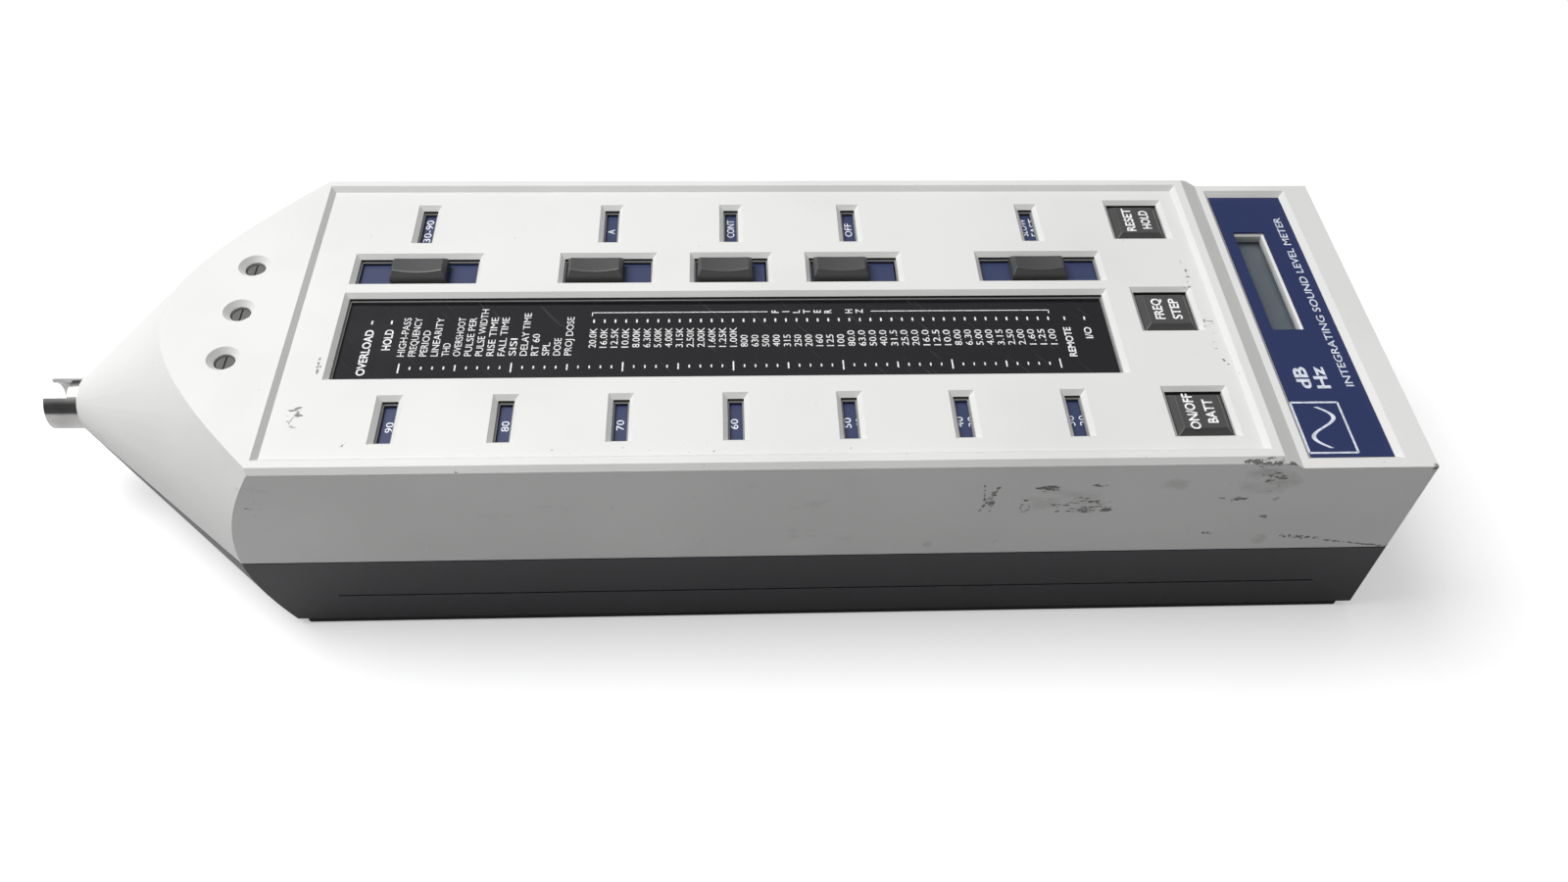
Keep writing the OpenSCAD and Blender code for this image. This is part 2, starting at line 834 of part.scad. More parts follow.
module battery_contacts() {
    color("silver")
        for (r = cell_rows) {
            y = [r * cell_pitch - 5, r * cell_pitch + 5];
            z = [cell_z - 5, cell_z + 8];
            span([contact_x[0], contact_x[0] + 0.5], y, z);
            span([contact_x[1], tail_x - wall], y, z);
        }
}

// Body of a socket in the tail face, with its bore
module jack_body(j) {
    difference() {
        bar_x(tail_x - jack_l[j], tail_x, jack_y[j], jack_z, jack_r[j]);
        bar_x(tail_x - jack_bore_l[j], tail_x + cut, jack_y[j], jack_z, jack_bore_r[j]);
    }
}

// Round multi-pole socket: a plug bore, then a slightly wider pocket for the insert
module io_socket() {
    color("silver")
        difference() {
            jack_body(1);
            bar_x(tail_x - io_l, tail_x - jack_bore_l[1], jack_y[1], jack_z, jack_bore_r[1] + pocket_step);
        }
}

module io_socket_insert() {
    color("black")
        difference() {
            bar_x(tail_x - io_l, tail_x - jack_bore_l[1] - 0.1,
                  jack_y[1], jack_z, jack_bore_r[1] + pocket_step - snug);
            for (a = [0 : 45 : 270])
                bar_x(tail_x - 9, tail_x - 5, jack_y[1] + io_pin_circle_r * cos(a - 135),
                      jack_z + io_pin_circle_r * sin(a - 135), 0.6);
        }
}

module output_jack() {
    color("black")
        jack_body(0);
}

module power_jack() {
    color("black")
        jack_body(2);
}

module power_jack_pin() {
    color("silver")
        bar_x(tail_x - jack_bore_l[2], tail_x - 1, jack_y[2], jack_z, power_pin_r);
}

top_shell();
bottom_shell();
foot_rails();
battery_cover();
case_screws();
socket_ring();
socket_insulator();
socket_pins();
socket_nut();
bezel_frame();
bar_window();
bar_display();
label_plate();
lcd_lens();
lcd_module();
display_connectors();
main_board();
filter_board();
board_spacers();
board_screws();
shield_can();
ribbon_cable();
slider_knob(0);  // slider_knob_1
slider_knob(1);  // slider_knob_2
slider_knob(2);  // slider_knob_3
slider_knob(3);  // slider_knob_4
slider_knob(4);  // slider_knob_5
slider_plate(0);  // slider_plate_1
slider_plate(1);  // slider_plate_2
slider_plate(2);  // slider_plate_3
slider_plate(3);  // slider_plate_4
slider_plate(4);  // slider_plate_5
slide_switches();
button_cap(0);  // button_cap_1
button_cap(1);  // button_cap_2
button_cap(2);  // button_cap_3
button_spring(0);  // button_spring_1
button_spring(1);  // button_spring_2
button_spring(2);  // button_spring_3
key_switches();
trimmer_rotor(0);  // trimmer_rotor_1
trimmer_rotor(1);  // trimmer_rotor_2
trimmer_rotor(2);  // trimmer_rotor_3
trimmer_bodies();
tripod_insert();
batteries();
battery_contacts();
io_socket();
io_socket_insert();
output_jack();
power_jack();
power_jack_pin();
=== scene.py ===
"""Looks of a hand-held sound level meter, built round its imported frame.

The frame gives every body and its place. Each sub-assembly below is a class that
dresses the frame's nodes, softens moulded edges and adds the printed legends.
"""

import json
import logging
import math
from dataclasses import dataclass, field
from enum import Enum
from typing import Callable, Iterable, Optional, Sequence

import bmesh
import bpy
from bpy.types import Material, Mesh, Node, NodeSocket, NodeTree, Object
from mathutils import Matrix, Vector

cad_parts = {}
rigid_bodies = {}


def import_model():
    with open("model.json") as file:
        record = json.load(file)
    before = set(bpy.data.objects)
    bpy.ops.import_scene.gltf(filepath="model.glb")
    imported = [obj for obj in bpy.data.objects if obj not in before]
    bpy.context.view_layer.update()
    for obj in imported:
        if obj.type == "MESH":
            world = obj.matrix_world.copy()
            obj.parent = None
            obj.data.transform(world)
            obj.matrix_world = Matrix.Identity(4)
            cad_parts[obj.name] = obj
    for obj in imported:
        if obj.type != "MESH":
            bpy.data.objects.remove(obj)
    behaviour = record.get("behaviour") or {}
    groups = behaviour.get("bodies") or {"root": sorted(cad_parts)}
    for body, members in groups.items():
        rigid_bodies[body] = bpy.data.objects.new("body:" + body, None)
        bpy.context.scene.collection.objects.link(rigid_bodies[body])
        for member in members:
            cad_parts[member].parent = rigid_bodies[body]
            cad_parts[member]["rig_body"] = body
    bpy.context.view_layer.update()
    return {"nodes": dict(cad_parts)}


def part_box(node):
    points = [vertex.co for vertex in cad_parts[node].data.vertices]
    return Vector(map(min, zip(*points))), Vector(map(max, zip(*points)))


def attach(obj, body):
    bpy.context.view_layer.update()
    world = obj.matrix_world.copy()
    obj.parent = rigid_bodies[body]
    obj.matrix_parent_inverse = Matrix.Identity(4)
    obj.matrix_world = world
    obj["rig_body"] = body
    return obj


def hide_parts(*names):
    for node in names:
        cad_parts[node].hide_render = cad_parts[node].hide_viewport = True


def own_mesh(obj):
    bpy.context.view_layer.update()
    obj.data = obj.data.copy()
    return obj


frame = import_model()

MM = 0.001
PRINT_HEIGHT = 0.02 * MM
CAPITAL_SHARE = 0.72
LETTER_SQUEEZE = 0.86
WELD = 0.002 * MM
FLAT_DEGREES = 0.4
SHARP_DEGREES = 25.0
ROUNDED_DEGREES = 28.0
LOG = logging.getLogger("meter")

Colour = tuple[float, float, float]
Point = tuple[float, float, float]


# ---------------------------------------------------------------- node helpers


class Tree:
    """A short way to write shader nodes in one node tree."""

    def __init__(self, tree: NodeTree) -> None:
        """Start from an empty tree.

        Args:
            tree: The node tree to fill.
        """
        self.tree = tree
        tree.nodes.clear()

    def add(self, kind: str, **settings: object) -> Node:
        """Add a node.

        Args:
            kind: The node's type name.
            settings: Attributes to set on the node.

        Returns:
            The new node.
        """
        node = self.tree.nodes.new(kind)
        for key, value in settings.items():
            setattr(node, key, value)
        return node

    def feed(self, socket: NodeSocket, source: object) -> None:
        """Link a socket to another one, or set its plain value.

        Args:
            socket: The input socket.
            source: An output socket, a number, or a tuple of numbers.
        """
        if isinstance(source, NodeSocket):
            self.tree.links.new(source, socket)
        else:
            socket.default_value = source

    def math(self, operation: str, a: object, b: object = 0.0, clamp: bool = False) -> NodeSocket:
        """Work out one value from two.

        Args:
            operation: The Math node's operation.
            a: First value or socket.
            b: Second value or socket.
            clamp: Keep the result from 0 to 1.

        Returns:
            The result's socket.
        """
        node = self.add("ShaderNodeMath", operation=operation, use_clamp=clamp)
        self.feed(node.inputs[0], a)
        self.feed(node.inputs[1], b)
        return node.outputs[0]

    def vector(self, operation: str, a: object, b: object = (0.0, 0.0, 0.0)) -> NodeSocket:
        """Work out a vector, a length or a dot product.

        Args:
            operation: The Vector Math node's operation.
            a: First vector or socket.
            b: Second vector or socket.

        Returns:
            The result's socket.
        """
        node = self.add("ShaderNodeVectorMath", operation=operation)
        self.feed(node.inputs[0], a)
        self.feed(node.inputs[1], b)
        return node.outputs["Value" if operation in ("DOT_PRODUCT", "LENGTH") else "Vector"]

    def ramp(self, source: object, low: float, high: float, out: Sequence[float] = (0, 1)) -> NodeSocket:
        """Map a value smoothly from one range to another.

        Args:
            source: The value's socket.
            low: Where the change starts.
            high: Where the change ends.
            out: The values at the two ends.

        Returns:
            The mapped value's socket.
        """
        node = self.add("ShaderNodeMapRange", interpolation_type="SMOOTHSTEP")
        self.feed(node.inputs["Value"], source)
        node.inputs["From Min"].default_value = low
        node.inputs["From Max"].default_value = high
        node.inputs["To Min"].default_value = out[0]
        node.inputs["To Max"].default_value = out[1]
        return node.outputs["Result"]

    def mix(self, factor: object, a: object, b: object) -> NodeSocket:
        """Blend two colours.

        Args:
            factor: Share of the second colour.
            a: First colour or socket.
            b: Second colour or socket.

        Returns:
            The blended colour's socket.
        """
        node = self.add("ShaderNodeMix", data_type="RGBA")
        self.feed(node.inputs["Factor"], factor)
        self.feed(node.inputs[6], rgba(a) if isinstance(a, tuple) else a)
        self.feed(node.inputs[7], rgba(b) if isinstance(b, tuple) else b)
        return node.outputs[2]

    def where(self) -> NodeSocket:
        """Give the place of the shaded point on its object."""
        return self.add("ShaderNodeTexCoord").outputs["Object"]

    def noise(self, where: object, scale: object, detail: float = 4, roughness: float = 0.55) -> NodeSocket:
        """Add noise.

        Args:
            where: The coordinates' socket.
            scale: Features in each metre.
            detail: Octaves.
            roughness: Strength of the finer octaves.

        Returns:
            The noise value's socket.
        """
        node = self.add("ShaderNodeTexNoise")
        self.feed(node.inputs["Vector"], where)
        self.feed(node.inputs["Scale"], scale)
        node.inputs["Detail"].default_value = detail
        node.inputs["Roughness"].default_value = roughness
        return node.outputs["Fac"]

    def group(self, effect: "Effect", **values: object) -> Node:
        """Place a shared effect.

        Args:
            effect: The effect.
            values: Its inputs by name, with spaces as underscores.

        Returns:
            The group node.
        """
        node = self.add("ShaderNodeGroup", node_tree=effect.tree())
        for key, value in values.items():
            self.feed(node.inputs[key.replace("_", " ")], value)
        return node


def rgba(colour: Sequence[float]) -> tuple[float, float, float, float]:
    """Give a colour its alpha."""
    return (colour[0], colour[1], colour[2], 1.0)


class Kind(Enum):
    """Socket types of a shared effect."""

    NUMBER = "NodeSocketFloat"
    VECTOR = "NodeSocketVector"


@dataclass(frozen=True)
class Effect:
    """A shader node group that several materials use."""

    name: str
    inputs: tuple[tuple[str, Kind, object], ...]
    outputs: tuple[tuple[str, Kind], ...]
    fill: Callable[[Tree, Node, Node], None]

    def tree(self) -> NodeTree:
        """Build the group, or find it if it is there.

        Returns:
            The node group.
        """
        found = bpy.data.node_groups.get(self.name)
        if found is not None:
            return found
        tree = bpy.data.node_groups.new(self.name, "ShaderNodeTree")
        for name, kind, value in self.inputs:
            socket = tree.interface.new_socket(name, in_out="INPUT", socket_type=kind.value)
            socket.default_value = value
        for name, kind in self.outputs:
            tree.interface.new_socket(name, in_out="OUTPUT", socket_type=kind.value)
        build = Tree(tree)
        source = build.add("NodeGroupInput")
        sink = build.add("NodeGroupOutput")
        self.fill(build, source, sink)
        return tree


def fill_edge_wear(t: Tree, source: Node, sink: Node) -> None:
    """Mask the corners that rub, broken up by noise.

    Args:
        t: The group's tree.
        source: Its input node.
        sink: Its output node.
    """
    where = t.where()
    rounded = t.add("ShaderNodeBevel", samples=3)
    t.feed(rounded.inputs["Radius"], source.outputs["Radius"])
    plain = t.add("ShaderNodeNewGeometry").outputs["Normal"]
    same = t.vector("DOT_PRODUCT", rounded.outputs["Normal"], plain)
    corner = t.ramp(same, 0.97, 0.72)
    broken = t.ramp(t.noise(where, source.outputs["Scale"], 5.0), 0.46, 0.62)
    worn = t.math("MULTIPLY", corner, broken)
    t.feed(sink.inputs["Mask"], t.math("MULTIPLY", worn, source.outputs["Amount"], clamp=True))


def fill_grain(t: Tree, source: Node, sink: Node) -> None:
    """Fine moulded texture with a slow drift of tone.

    Args:
        t: The group's tree.
        source: Its input node.
        sink: Its output node.
    """
    where = t.where()
    fine = t.noise(where, source.outputs["Scale"], 3.0, 0.6)
    slow = t.noise(where, 22.0, 3.0, 0.5)
    t.feed(sink.inputs["Height"], fine)
    t.feed(sink.inputs["Tone"], slow)


def fill_dust(t: Tree, source: Node, sink: Node) -> None:
    """Scattered specks of dust.

    Args:
        t: The group's tree.
        source: Its input node.
        sink: Its output node.
    """
    where = t.where()
    cells = t.add("ShaderNodeTexVoronoi", feature="F1")
    t.feed(cells.inputs["Vector"], where)
    t.feed(cells.inputs["Scale"], source.outputs["Scale"])
    speck = t.ramp(cells.outputs["Distance"], 0.13, 0.04)
    chosen = t.ramp(t.noise(where, 140.0, 2.0), 0.55, 0.68)
    both = t.math("MULTIPLY", speck, chosen)
    t.feed(sink.inputs["Mask"], t.math("MULTIPLY", both, source.outputs["Amount"], clamp=True))


def fill_patch(t: Tree, source: Node, sink: Node) -> None:
    """One at the middle of an ellipsoid, fading to nought at its skin.

    Args:
        t: The group's tree.
        source: Its input node.
        sink: Its output node.
    """
    where = t.where()
    away = t.vector("SUBTRACT", where, source.outputs["Centre"])
    shared = t.vector("DIVIDE", away, source.outputs["Reach"])
    t.feed(sink.inputs["Mask"], t.ramp(t.vector("LENGTH", shared), 1.0, 0.3))


def fill_marks(t: Tree, source: Node, sink: Node) -> None:
    """Ragged marks, more of them where the density is higher, with a thin band round each for a painted
    highlight.

    Args:
        t: The group's tree.
        source: Its input node.
        sink: Its output node.
    """
    where = t.where()
    drawn = t.vector("MULTIPLY", where, (0.55, 1.0, 1.35))
    ragged = t.noise(drawn, source.outputs["Scale"], 8.0, 0.7)
    edge = t.math("SUBTRACT", 0.80, source.outputs["Density"])
    over = t.math("SUBTRACT", ragged, edge)
    mask = t.math("MULTIPLY", over, source.outputs["Hardness"], clamp=True)
    # A thin band just outside each mark, where a highlight is painted
    near = t.math("MULTIPLY", t.math("ADD", over, 0.035), source.outputs["Hardness"], clamp=True)
    t.feed(sink.inputs["Mask"], mask)
    t.feed(sink.inputs["Rim"], t.math("SUBTRACT", near, mask, clamp=True))


def fill_scratch(t: Tree, source: Node, sink: Node) -> None:
    """A thin line scratch between two points, a little wavering.

    Args:
        t: The group's tree.
        source: Its input node.
        sink: Its output node.
    """
    where = t.where()
    start, end = source.outputs["Start"], source.outputs["End"]
    run = t.vector("SUBTRACT", end, start)
    away = t.vector("SUBTRACT", where, start)
    along = t.vector("DOT_PRODUCT", away, run)
    whole = t.vector("DOT_PRODUCT", run, run)
    share = t.math("DIVIDE", along, whole, clamp=True)
    foot = t.add("ShaderNodeVectorMath", operation="SCALE")
    t.feed(foot.inputs[0], run)
    t.feed(foot.inputs["Scale"], share)
    gap = t.vector("LENGTH", t.vector("SUBTRACT", away, foot.outputs[0]))
    waver = t.math("MULTIPLY", t.ramp(t.noise(where, 1100.0, 4.0), 0.40, 0.66), source.outputs["Width"])
    t.feed(sink.inputs["Mask"], t.math("MULTIPLY", t.math("SUBTRACT", waver, gap), 8000.0, clamp=True))


def fill_inside(t: Tree, source: Node, sink: Node) -> None:
    """One inside a box on the faces that look one way, and nought elsewhere.

    Args:
        t: The group's tree.
        source: Its input node.
        sink: Its output node.
    """
    place = t.add("ShaderNodeTexCoord")
    where = place.outputs["Object"]
    facing = t.vector("DOT_PRODUCT", place.outputs["Normal"], source.outputs["Facing"])
    low = t.add("ShaderNodeSeparateXYZ")
    t.feed(low.inputs[0], t.vector("SUBTRACT", where, source.outputs["Low"]))
    high = t.add("ShaderNodeSeparateXYZ")
    t.feed(high.inputs[0], t.vector("SUBTRACT", source.outputs["High"], where))
    least: object = 1.0
    for axis in range(3):
        least = t.math("MINIMUM", least, low.outputs[axis])
        least = t.math("MINIMUM", least, high.outputs[axis])
    inside = t.math("GREATER_THAN", least, 0.0)
    t.feed(sink.inputs["Mask"], t.math("MULTIPLY", inside, t.ramp(facing, 0.8, 0.95)))


EDGE_WEAR = Effect(
    "edge wear",
    (("Radius", Kind.NUMBER, 0.0004), ("Scale", Kind.NUMBER, 300.0), ("Amount", Kind.NUMBER, 0.5)),
    (("Mask", Kind.NUMBER),),
    fill_edge_wear,
)
GRAIN = Effect(
    "moulded grain",
    (("Scale", Kind.NUMBER, 2500.0),),
    (("Height", Kind.NUMBER), ("Tone", Kind.NUMBER)),
    fill_grain,
)
DUST = Effect(
    "dust specks",
    (("Scale", Kind.NUMBER, 900.0), ("Amount", Kind.NUMBER, 0.5)),
    (("Mask", Kind.NUMBER),),
    fill_dust,
)
PATCH = Effect(
    "patch",
    (("Centre", Kind.VECTOR, (0.0, 0.0, 0.0)), ("Reach", Kind.VECTOR, (0.01, 0.01, 0.01))),
    (("Mask", Kind.NUMBER),),
    fill_patch,
)
MARKS = Effect(
    "ragged marks",
    (("Density", Kind.NUMBER, 0.0), ("Scale", Kind.NUMBER, 900.0), ("Hardness", Kind.NUMBER, 12.0)),
    (("Mask", Kind.NUMBER), ("Rim", Kind.NUMBER)),
    fill_marks,
)
SCRATCH = Effect(
    "line scratch",
    (
        ("Start", Kind.VECTOR, (0.0, 0.0, 0.0)),
        ("End", Kind.VECTOR, (0.01, 0.0, 0.0)),
        ("Width", Kind.NUMBER, 0.0004),
    ),
    (("Mask", Kind.NUMBER),),
    fill_scratch,
)
# Used to paint shade on the window walls that face -Y
INSIDE = Effect(
    "inside a box",
    (
        ("Low", Kind.VECTOR, (0.0, 0.0, 0.0)),
        ("High", Kind.VECTOR, (1.0, 1.0, 1.0)),
        ("Facing", Kind.VECTOR, (0.0, -1.0, 0.0)),
    ),
    (("Mask", Kind.NUMBER),),
    fill_inside,
)


def new_material(name: str) -> tuple[Material, Tree, Node]:
    """Start a material with one Principled shader.

    Args:
        name: The material's name.

    Returns:
        The material, its tree and the shader node.
    """
    material = bpy.data.materials.new(name)
    material.use_nodes = True
    t = Tree(material.node_tree)
    shader = t.add("ShaderNodeBsdfPrincipled")
    output = t.add("ShaderNodeOutputMaterial")
    t.feed(output.inputs["Surface"], shader.outputs["BSDF"])
    return material, t, shader


def coat(t: Tree, shader: Node, colour: object, roughness: object) -> None:
    """Feed the shader's colour and roughness."""
    t.feed(shader.inputs["Base Color"], colour)
    t.feed(shader.inputs["Roughness"], roughness)


def bump(t: Tree, shader: Node, height: object, distance: float, strength: float = 0.4) -> None:
    """Feed a height to the shader's normal.

    Args:
        t: The material's tree.
        shader: The Principled node.
        height: The height's socket.
        distance: Depth of the relief in metres.
        strength: Share of it that shows.
    """
    node = t.add("ShaderNodeBump")
    node.inputs["Strength"].default_value = strength
    node.inputs["Distance"].default_value = distance
    t.feed(node.inputs["Height"], height)
    t.feed(shader.inputs["Normal"], node.outputs["Normal"])


# ------------------------------------------------------------------- finishes


@dataclass(frozen=True)
class Plastic:
    """Moulded plastic with grain, rubbed corners and a little dust."""

    name: str
    colour: Colour
    worn: Colour
    roughness: float = 0.5
    grain: float = 2200.0
    relief: float = 0.05
    wear: float = 0.4
    dust: float = 0.15
    drift: float = 0.10

    def build(self) -> Material:
        """Make the material.

        Returns:
            The material.
        """
        material, t, shader = new_material(self.name)
        grain = t.group(GRAIN, Scale=self.grain)
        wear = t.group(EDGE_WEAR, Radius=0.35 * MM, Scale=420.0, Amount=self.wear)
        dust = t.group(DUST, Scale=1100.0, Amount=self.dust)
        darker = tuple(c * (1.0 - self.drift) for c in self.colour)
        tone = t.mix(t.ramp(grain.outputs["Tone"], 0.35, 0.65), self.colour, darker)
        rubbed = t.mix(wear.outputs["Mask"], tone, self.worn)
        dusty = t.mix(dust.outputs["Mask"], rubbed, (0.45, 0.44, 0.42))
        rough = (self.roughness - 0.06, self.roughness + 0.06)
        coat(t, shader, dusty, t.ramp(grain.outputs["Height"], 0.2, 0.8, rough))
        bump(t, shader, grain.outputs["Height"], self.relief * MM)
        return material


@dataclass(frozen=True)
class Metal:
    """Plated or turned metal with fine tool marks."""

    name: str
    colour: Colour
    roughness: float = 0.25
    lines: Point = (0.15, 1.0, 1.0)
    relief: float = 0.01

    def build(self) -> Material:
        """Make the material.

        Returns:
            The material.
        """
        material, t, shader = new_material(self.name)
        where = t.where()
        drawn = t.vector("MULTIPLY", where, self.lines)
        marks = t.noise(drawn, 5200.0, 3.0)
        stain = t.noise(where, 160.0, 4.0)
        dull = tuple(c * 0.78 for c in self.colour)
        rough = (self.roughness - 0.07, self.roughness + 0.08)
        coat(t, shader, t.mix(t.ramp(stain, 0.45, 0.7), self.colour, dull), t.ramp(marks, 0.3, 0.7, rough))
        shader.inputs["Metallic"].default_value = 1.0
        bump(t, shader, marks, self.relief * MM)
        return material


@dataclass(frozen=True)
class GlossPanel:
    """Smooth sheet with a gloss face, faint hairlines and dust."""

    name: str
    colour: Colour
    roughness: float = 0.16
    coat: float = 0.3
    dust: float = 0.5
    hairlines: float = 0.35

    def build(self) -> Material:
        """Make the material.

        Returns:
            The material.
        """
        material, t, shader = new_material(self.name)
        where = t.where()
        dust = t.group(DUST, Scale=1400.0, Amount=self.dust)
        turned = t.add("ShaderNodeVectorRotate", rotation_type="Z_AXIS")
        t.feed(turned.inputs["Vector"], where)
        turned.inputs["Angle"].default_value = 0.9
        drawn = t.vector("MULTIPLY", turned.outputs["Vector"], (0.04, 1.0, 1.0))
        lines = t.math("MULTIPLY", t.ramp(t.noise(drawn, 1500.0, 2.0), 0.66, 0.74), self.hairlines)
        film = t.ramp(t.noise(where, 45.0, 4.0), 0.3, 0.75, (self.roughness, self.roughness + 0.14))
        marked = t.math("MAXIMUM", dust.outputs["Mask"], lines)
        coat(t, shader, t.mix(marked, self.colour, (0.32, 0.31, 0.33)), film)
        shader.inputs["Specular IOR Level"].default_value = 0.35
        shader.inputs["Coat Weight"].default_value = self.coat
        shader.inputs["Coat Roughness"].default_value = 0.08
        bump(t, shader, lines, 0.01 * MM)
        return material


@dataclass(frozen=True)
class Ink:
    """White printing ink, thin and slightly worn."""

    name: str
    colour: Colour
    roughness: float = 0.55

    def build(self) -> Material:
        """Make the material.

        Returns:
            The material.
        """
        material, t, shader = new_material(self.name)
        where = t.where()
        thin = t.ramp(t.noise(where, 900.0, 4.0), 0.35, 0.6)
        faded = tuple(c * 0.72 for c in self.colour)
        rough = t.ramp(thin, 0.0, 1.0, (self.roughness + 0.1, self.roughness))
        coat(t, shader, t.mix(thin, faded, self.colour), rough)
        bump(t, shader, thin, 0.005 * MM)
        return material


@dataclass(frozen=True)
class ClearSheet:
    """Thin clear plastic over a display."""

    name: str
    colour: Colour
    alpha: float = 0.18

    def build(self) -> Material:
        """Make the material.

        Returns:
            The material.
        """
        material, t, shader = new_material(self.name)
        where = t.where()
        film = t.noise(where, 260.0, 4.0)
        deep = tuple(c * 0.9 for c in self.colour)
        coat(t, shader, t.mix(film, self.colour, deep), t.ramp(film, 0.3, 0.8, (0.04, 0.18)))
        t.feed(shader.inputs["Alpha"], t.ramp(film, 0.3, 0.8, (self.alpha, self.alpha + 0.08)))
        return material


@dataclass(frozen=True)
class CrystalCell:
    """Grey-green liquid crystal glass with a cloudy tone."""

    name: str
    colour: Colour

    def build(self) -> Material:
        """Make the material.

        Returns:
            The material.
        """
        material, t, shader = new_material(self.name)
        where = t.where()
        cloud = t.ramp(t.noise(where, 55.0, 3.0), 0.3, 0.7)
        deep = tuple(c * 0.82 for c in self.colour)
        fine = t.noise(where, 5000.0, 2.0)
        coat(t, shader, t.mix(cloud, self.colour, deep), t.ramp(fine, 0.3, 0.7, (0.2, 0.32)))
        bump(t, shader, fine, 0.004 * MM)
        return material


@dataclass(frozen=True)
class CircuitBoard:
    """Solder mask over faint copper tracks."""

    name: str
    mask: Colour
    track: Colour

    def build(self) -> Material:
        """Make the material.

        Returns:
            The material.
        """
        material, t, shader = new_material(self.name)
        where = t.where()
        bricks = t.add("ShaderNodeTexBrick")
        t.feed(bricks.inputs["Vector"], where)
        bricks.inputs["Scale"].default_value = 160.0
        bricks.inputs["Mortar Size"].default_value = 0.03
        rough = t.ramp(t.noise(where, 400.0), 0.3, 0.7, (0.3, 0.45))
        coat(t, shader, t.mix(bricks.outputs["Fac"], self.mask, self.track), rough)
        bump(t, shader, bricks.outputs["Fac"], 0.02 * MM)
        return material


@dataclass(frozen=True)
class Mark:
    """A line scratch on the case, in millimetres of the frame."""

    start: Point
    end: Point
    width: float = 0.8


@dataclass(frozen=True)
class Rub:
    """A patch of wear on the case, in millimetres of the frame."""

    centre: Point
    reach: Point
    density: float = 0.27


@dataclass(frozen=True)
class CasePaint:
    """The upper shell: grained white plastic, painted shade on the window walls that face -Y, years of
    knocks with painted highlights round the chips.
    """

    name: str
    colour: Colour
    shade: Colour
    shaded_walls_low: Point
    shaded_walls_high: Point
    chips: tuple[Rub, ...]
    stains: tuple[Rub, ...]
    cuts: tuple[Mark, ...]
    roughness: float = 0.52
    chip_colour: Colour = (0.075, 0.070, 0.068)
    # Painted highlight colour for the rim round each chip
    rim_highlight_colour: Colour = (0.80, 0.80, 0.78)
    stain_colour: Colour = (0.17, 0.165, 0.155)
    # Near-black painted shade for the window walls that face -Y
    painted_wall_shade_colour: Colour = (0.035, 0.036, 0.035)

    def spread(self, t: Tree, rubs: Sequence[Rub]) -> object:
        """Work out how dense the wear is from a list of patches.

        Args:
            t: The material's tree.
            rubs: The patches.

        Returns:
            The density's socket.
        """
        density: object = 0.0
        for rub in rubs:
            patch = t.group(PATCH, Centre=metres(rub.centre), Reach=metres(rub.reach))
            density = t.math("MAXIMUM", density, t.math("MULTIPLY", patch.outputs["Mask"], rub.density))
        return density

    def build(self) -> Material:
        """Make the material.

        Returns:
            The material.
        """
        material, t, shader = new_material(self.name)
        grain = t.group(GRAIN, Scale=2600.0)
        wear = t.group(EDGE_WEAR, Radius=0.5 * MM, Scale=260.0, Amount=0.35)
        dust = t.group(DUST, Scale=420.0, Amount=0.4)
        chip = t.group(MARKS, Density=self.spread(t, self.chips), Scale=760.0, Hardness=16.0)
        stain = t.group(MARKS, Density=self.spread(t, self.stains), Scale=150.0, Hardness=3.0)
        cuts: object = 0.0
        for mark in self.cuts:
            line = t.group(SCRATCH, Start=metres(mark.start), End=metres(mark.end), Width=mark.width * MM)
            cuts = t.math("MAXIMUM", cuts, line.outputs["Mask"])
        tone = t.mix(t.ramp(grain.outputs["Tone"], 0.35, 0.7), self.colour, self.shade)
        stained = t.mix(t.math("MULTIPLY", stain.outputs["Mask"], 0.55), tone, self.stain_colour)
        rubbed = t.math("MAXIMUM", wear.outputs["Mask"], dust.outputs["Mask"])
        soiled = t.mix(rubbed, stained, self.stain_colour)
        dark = t.math("MULTIPLY", t.math("MAXIMUM", chip.outputs["Mask"], cuts), 0.85)
        # Painted highlight: a lighter rim round each chip stands in for light caught on its raised lip
        rim_lit = t.mix(t.math("MULTIPLY", chip.outputs["Rim"], 0.6), soiled, self.rim_highlight_colour)
        chipped = t.mix(dark, rim_lit, self.chip_colour)
        # Painted shade: window walls inside the box that face -Y are painted near black, in place of the
        # shade they fall in
        wall_shade_mask = t.group(INSIDE, Low=metres(self.shaded_walls_low), High=metres(self.shaded_walls_high))
        painted = t.mix(wall_shade_mask.outputs["Mask"], chipped, self.painted_wall_shade_colour)
        rough = (self.roughness - 0.05, self.roughness + 0.07)
        coat(t, shader, painted, t.ramp(grain.outputs["Height"], 0.2, 0.8, rough))
        relief = t.math("SUBTRACT", t.math("MULTIPLY", grain.outputs["Height"], 0.35), dark)
        bump(t, shader, relief, 0.1 * MM, 0.4)
        return material


def metres(point: Point) -> Point:
    """Turn millimetres of the frame into metres."""
    return tuple(c * MM for c in point)


# --------------------------------------------------------------- mesh helpers


def add_piece(name: str, mesh: Mesh, body: str, material: Material) -> Object:
    """Put a new piece in the scene on one body.

    Args:
        name: The piece's name.
        mesh: Its mesh, in the frame's metres.
        body: The body that it rides on.
        material: Its material.

    Returns:
        The new object.
    """
    mesh.materials.clear()
    mesh.materials.append(material)
    piece = bpy.data.objects.new(name, mesh)
    bpy.context.scene.collection.objects.link(piece)
    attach(piece, body)
    return piece


def smooth_by_angle(work: bmesh.types.BMesh, degrees: float) -> None:
    """Smooth every face, and keep the edges sharper than an angle.

    Args:
        work: The mesh being edited.
        degrees: The least angle of a sharp edge.
    """
    for face in work.faces:
        face.smooth = True
    for edge in work.edges:
        edge.smooth = edge.is_manifold and edge.calc_face_angle(0.0) < math.radians(degrees)


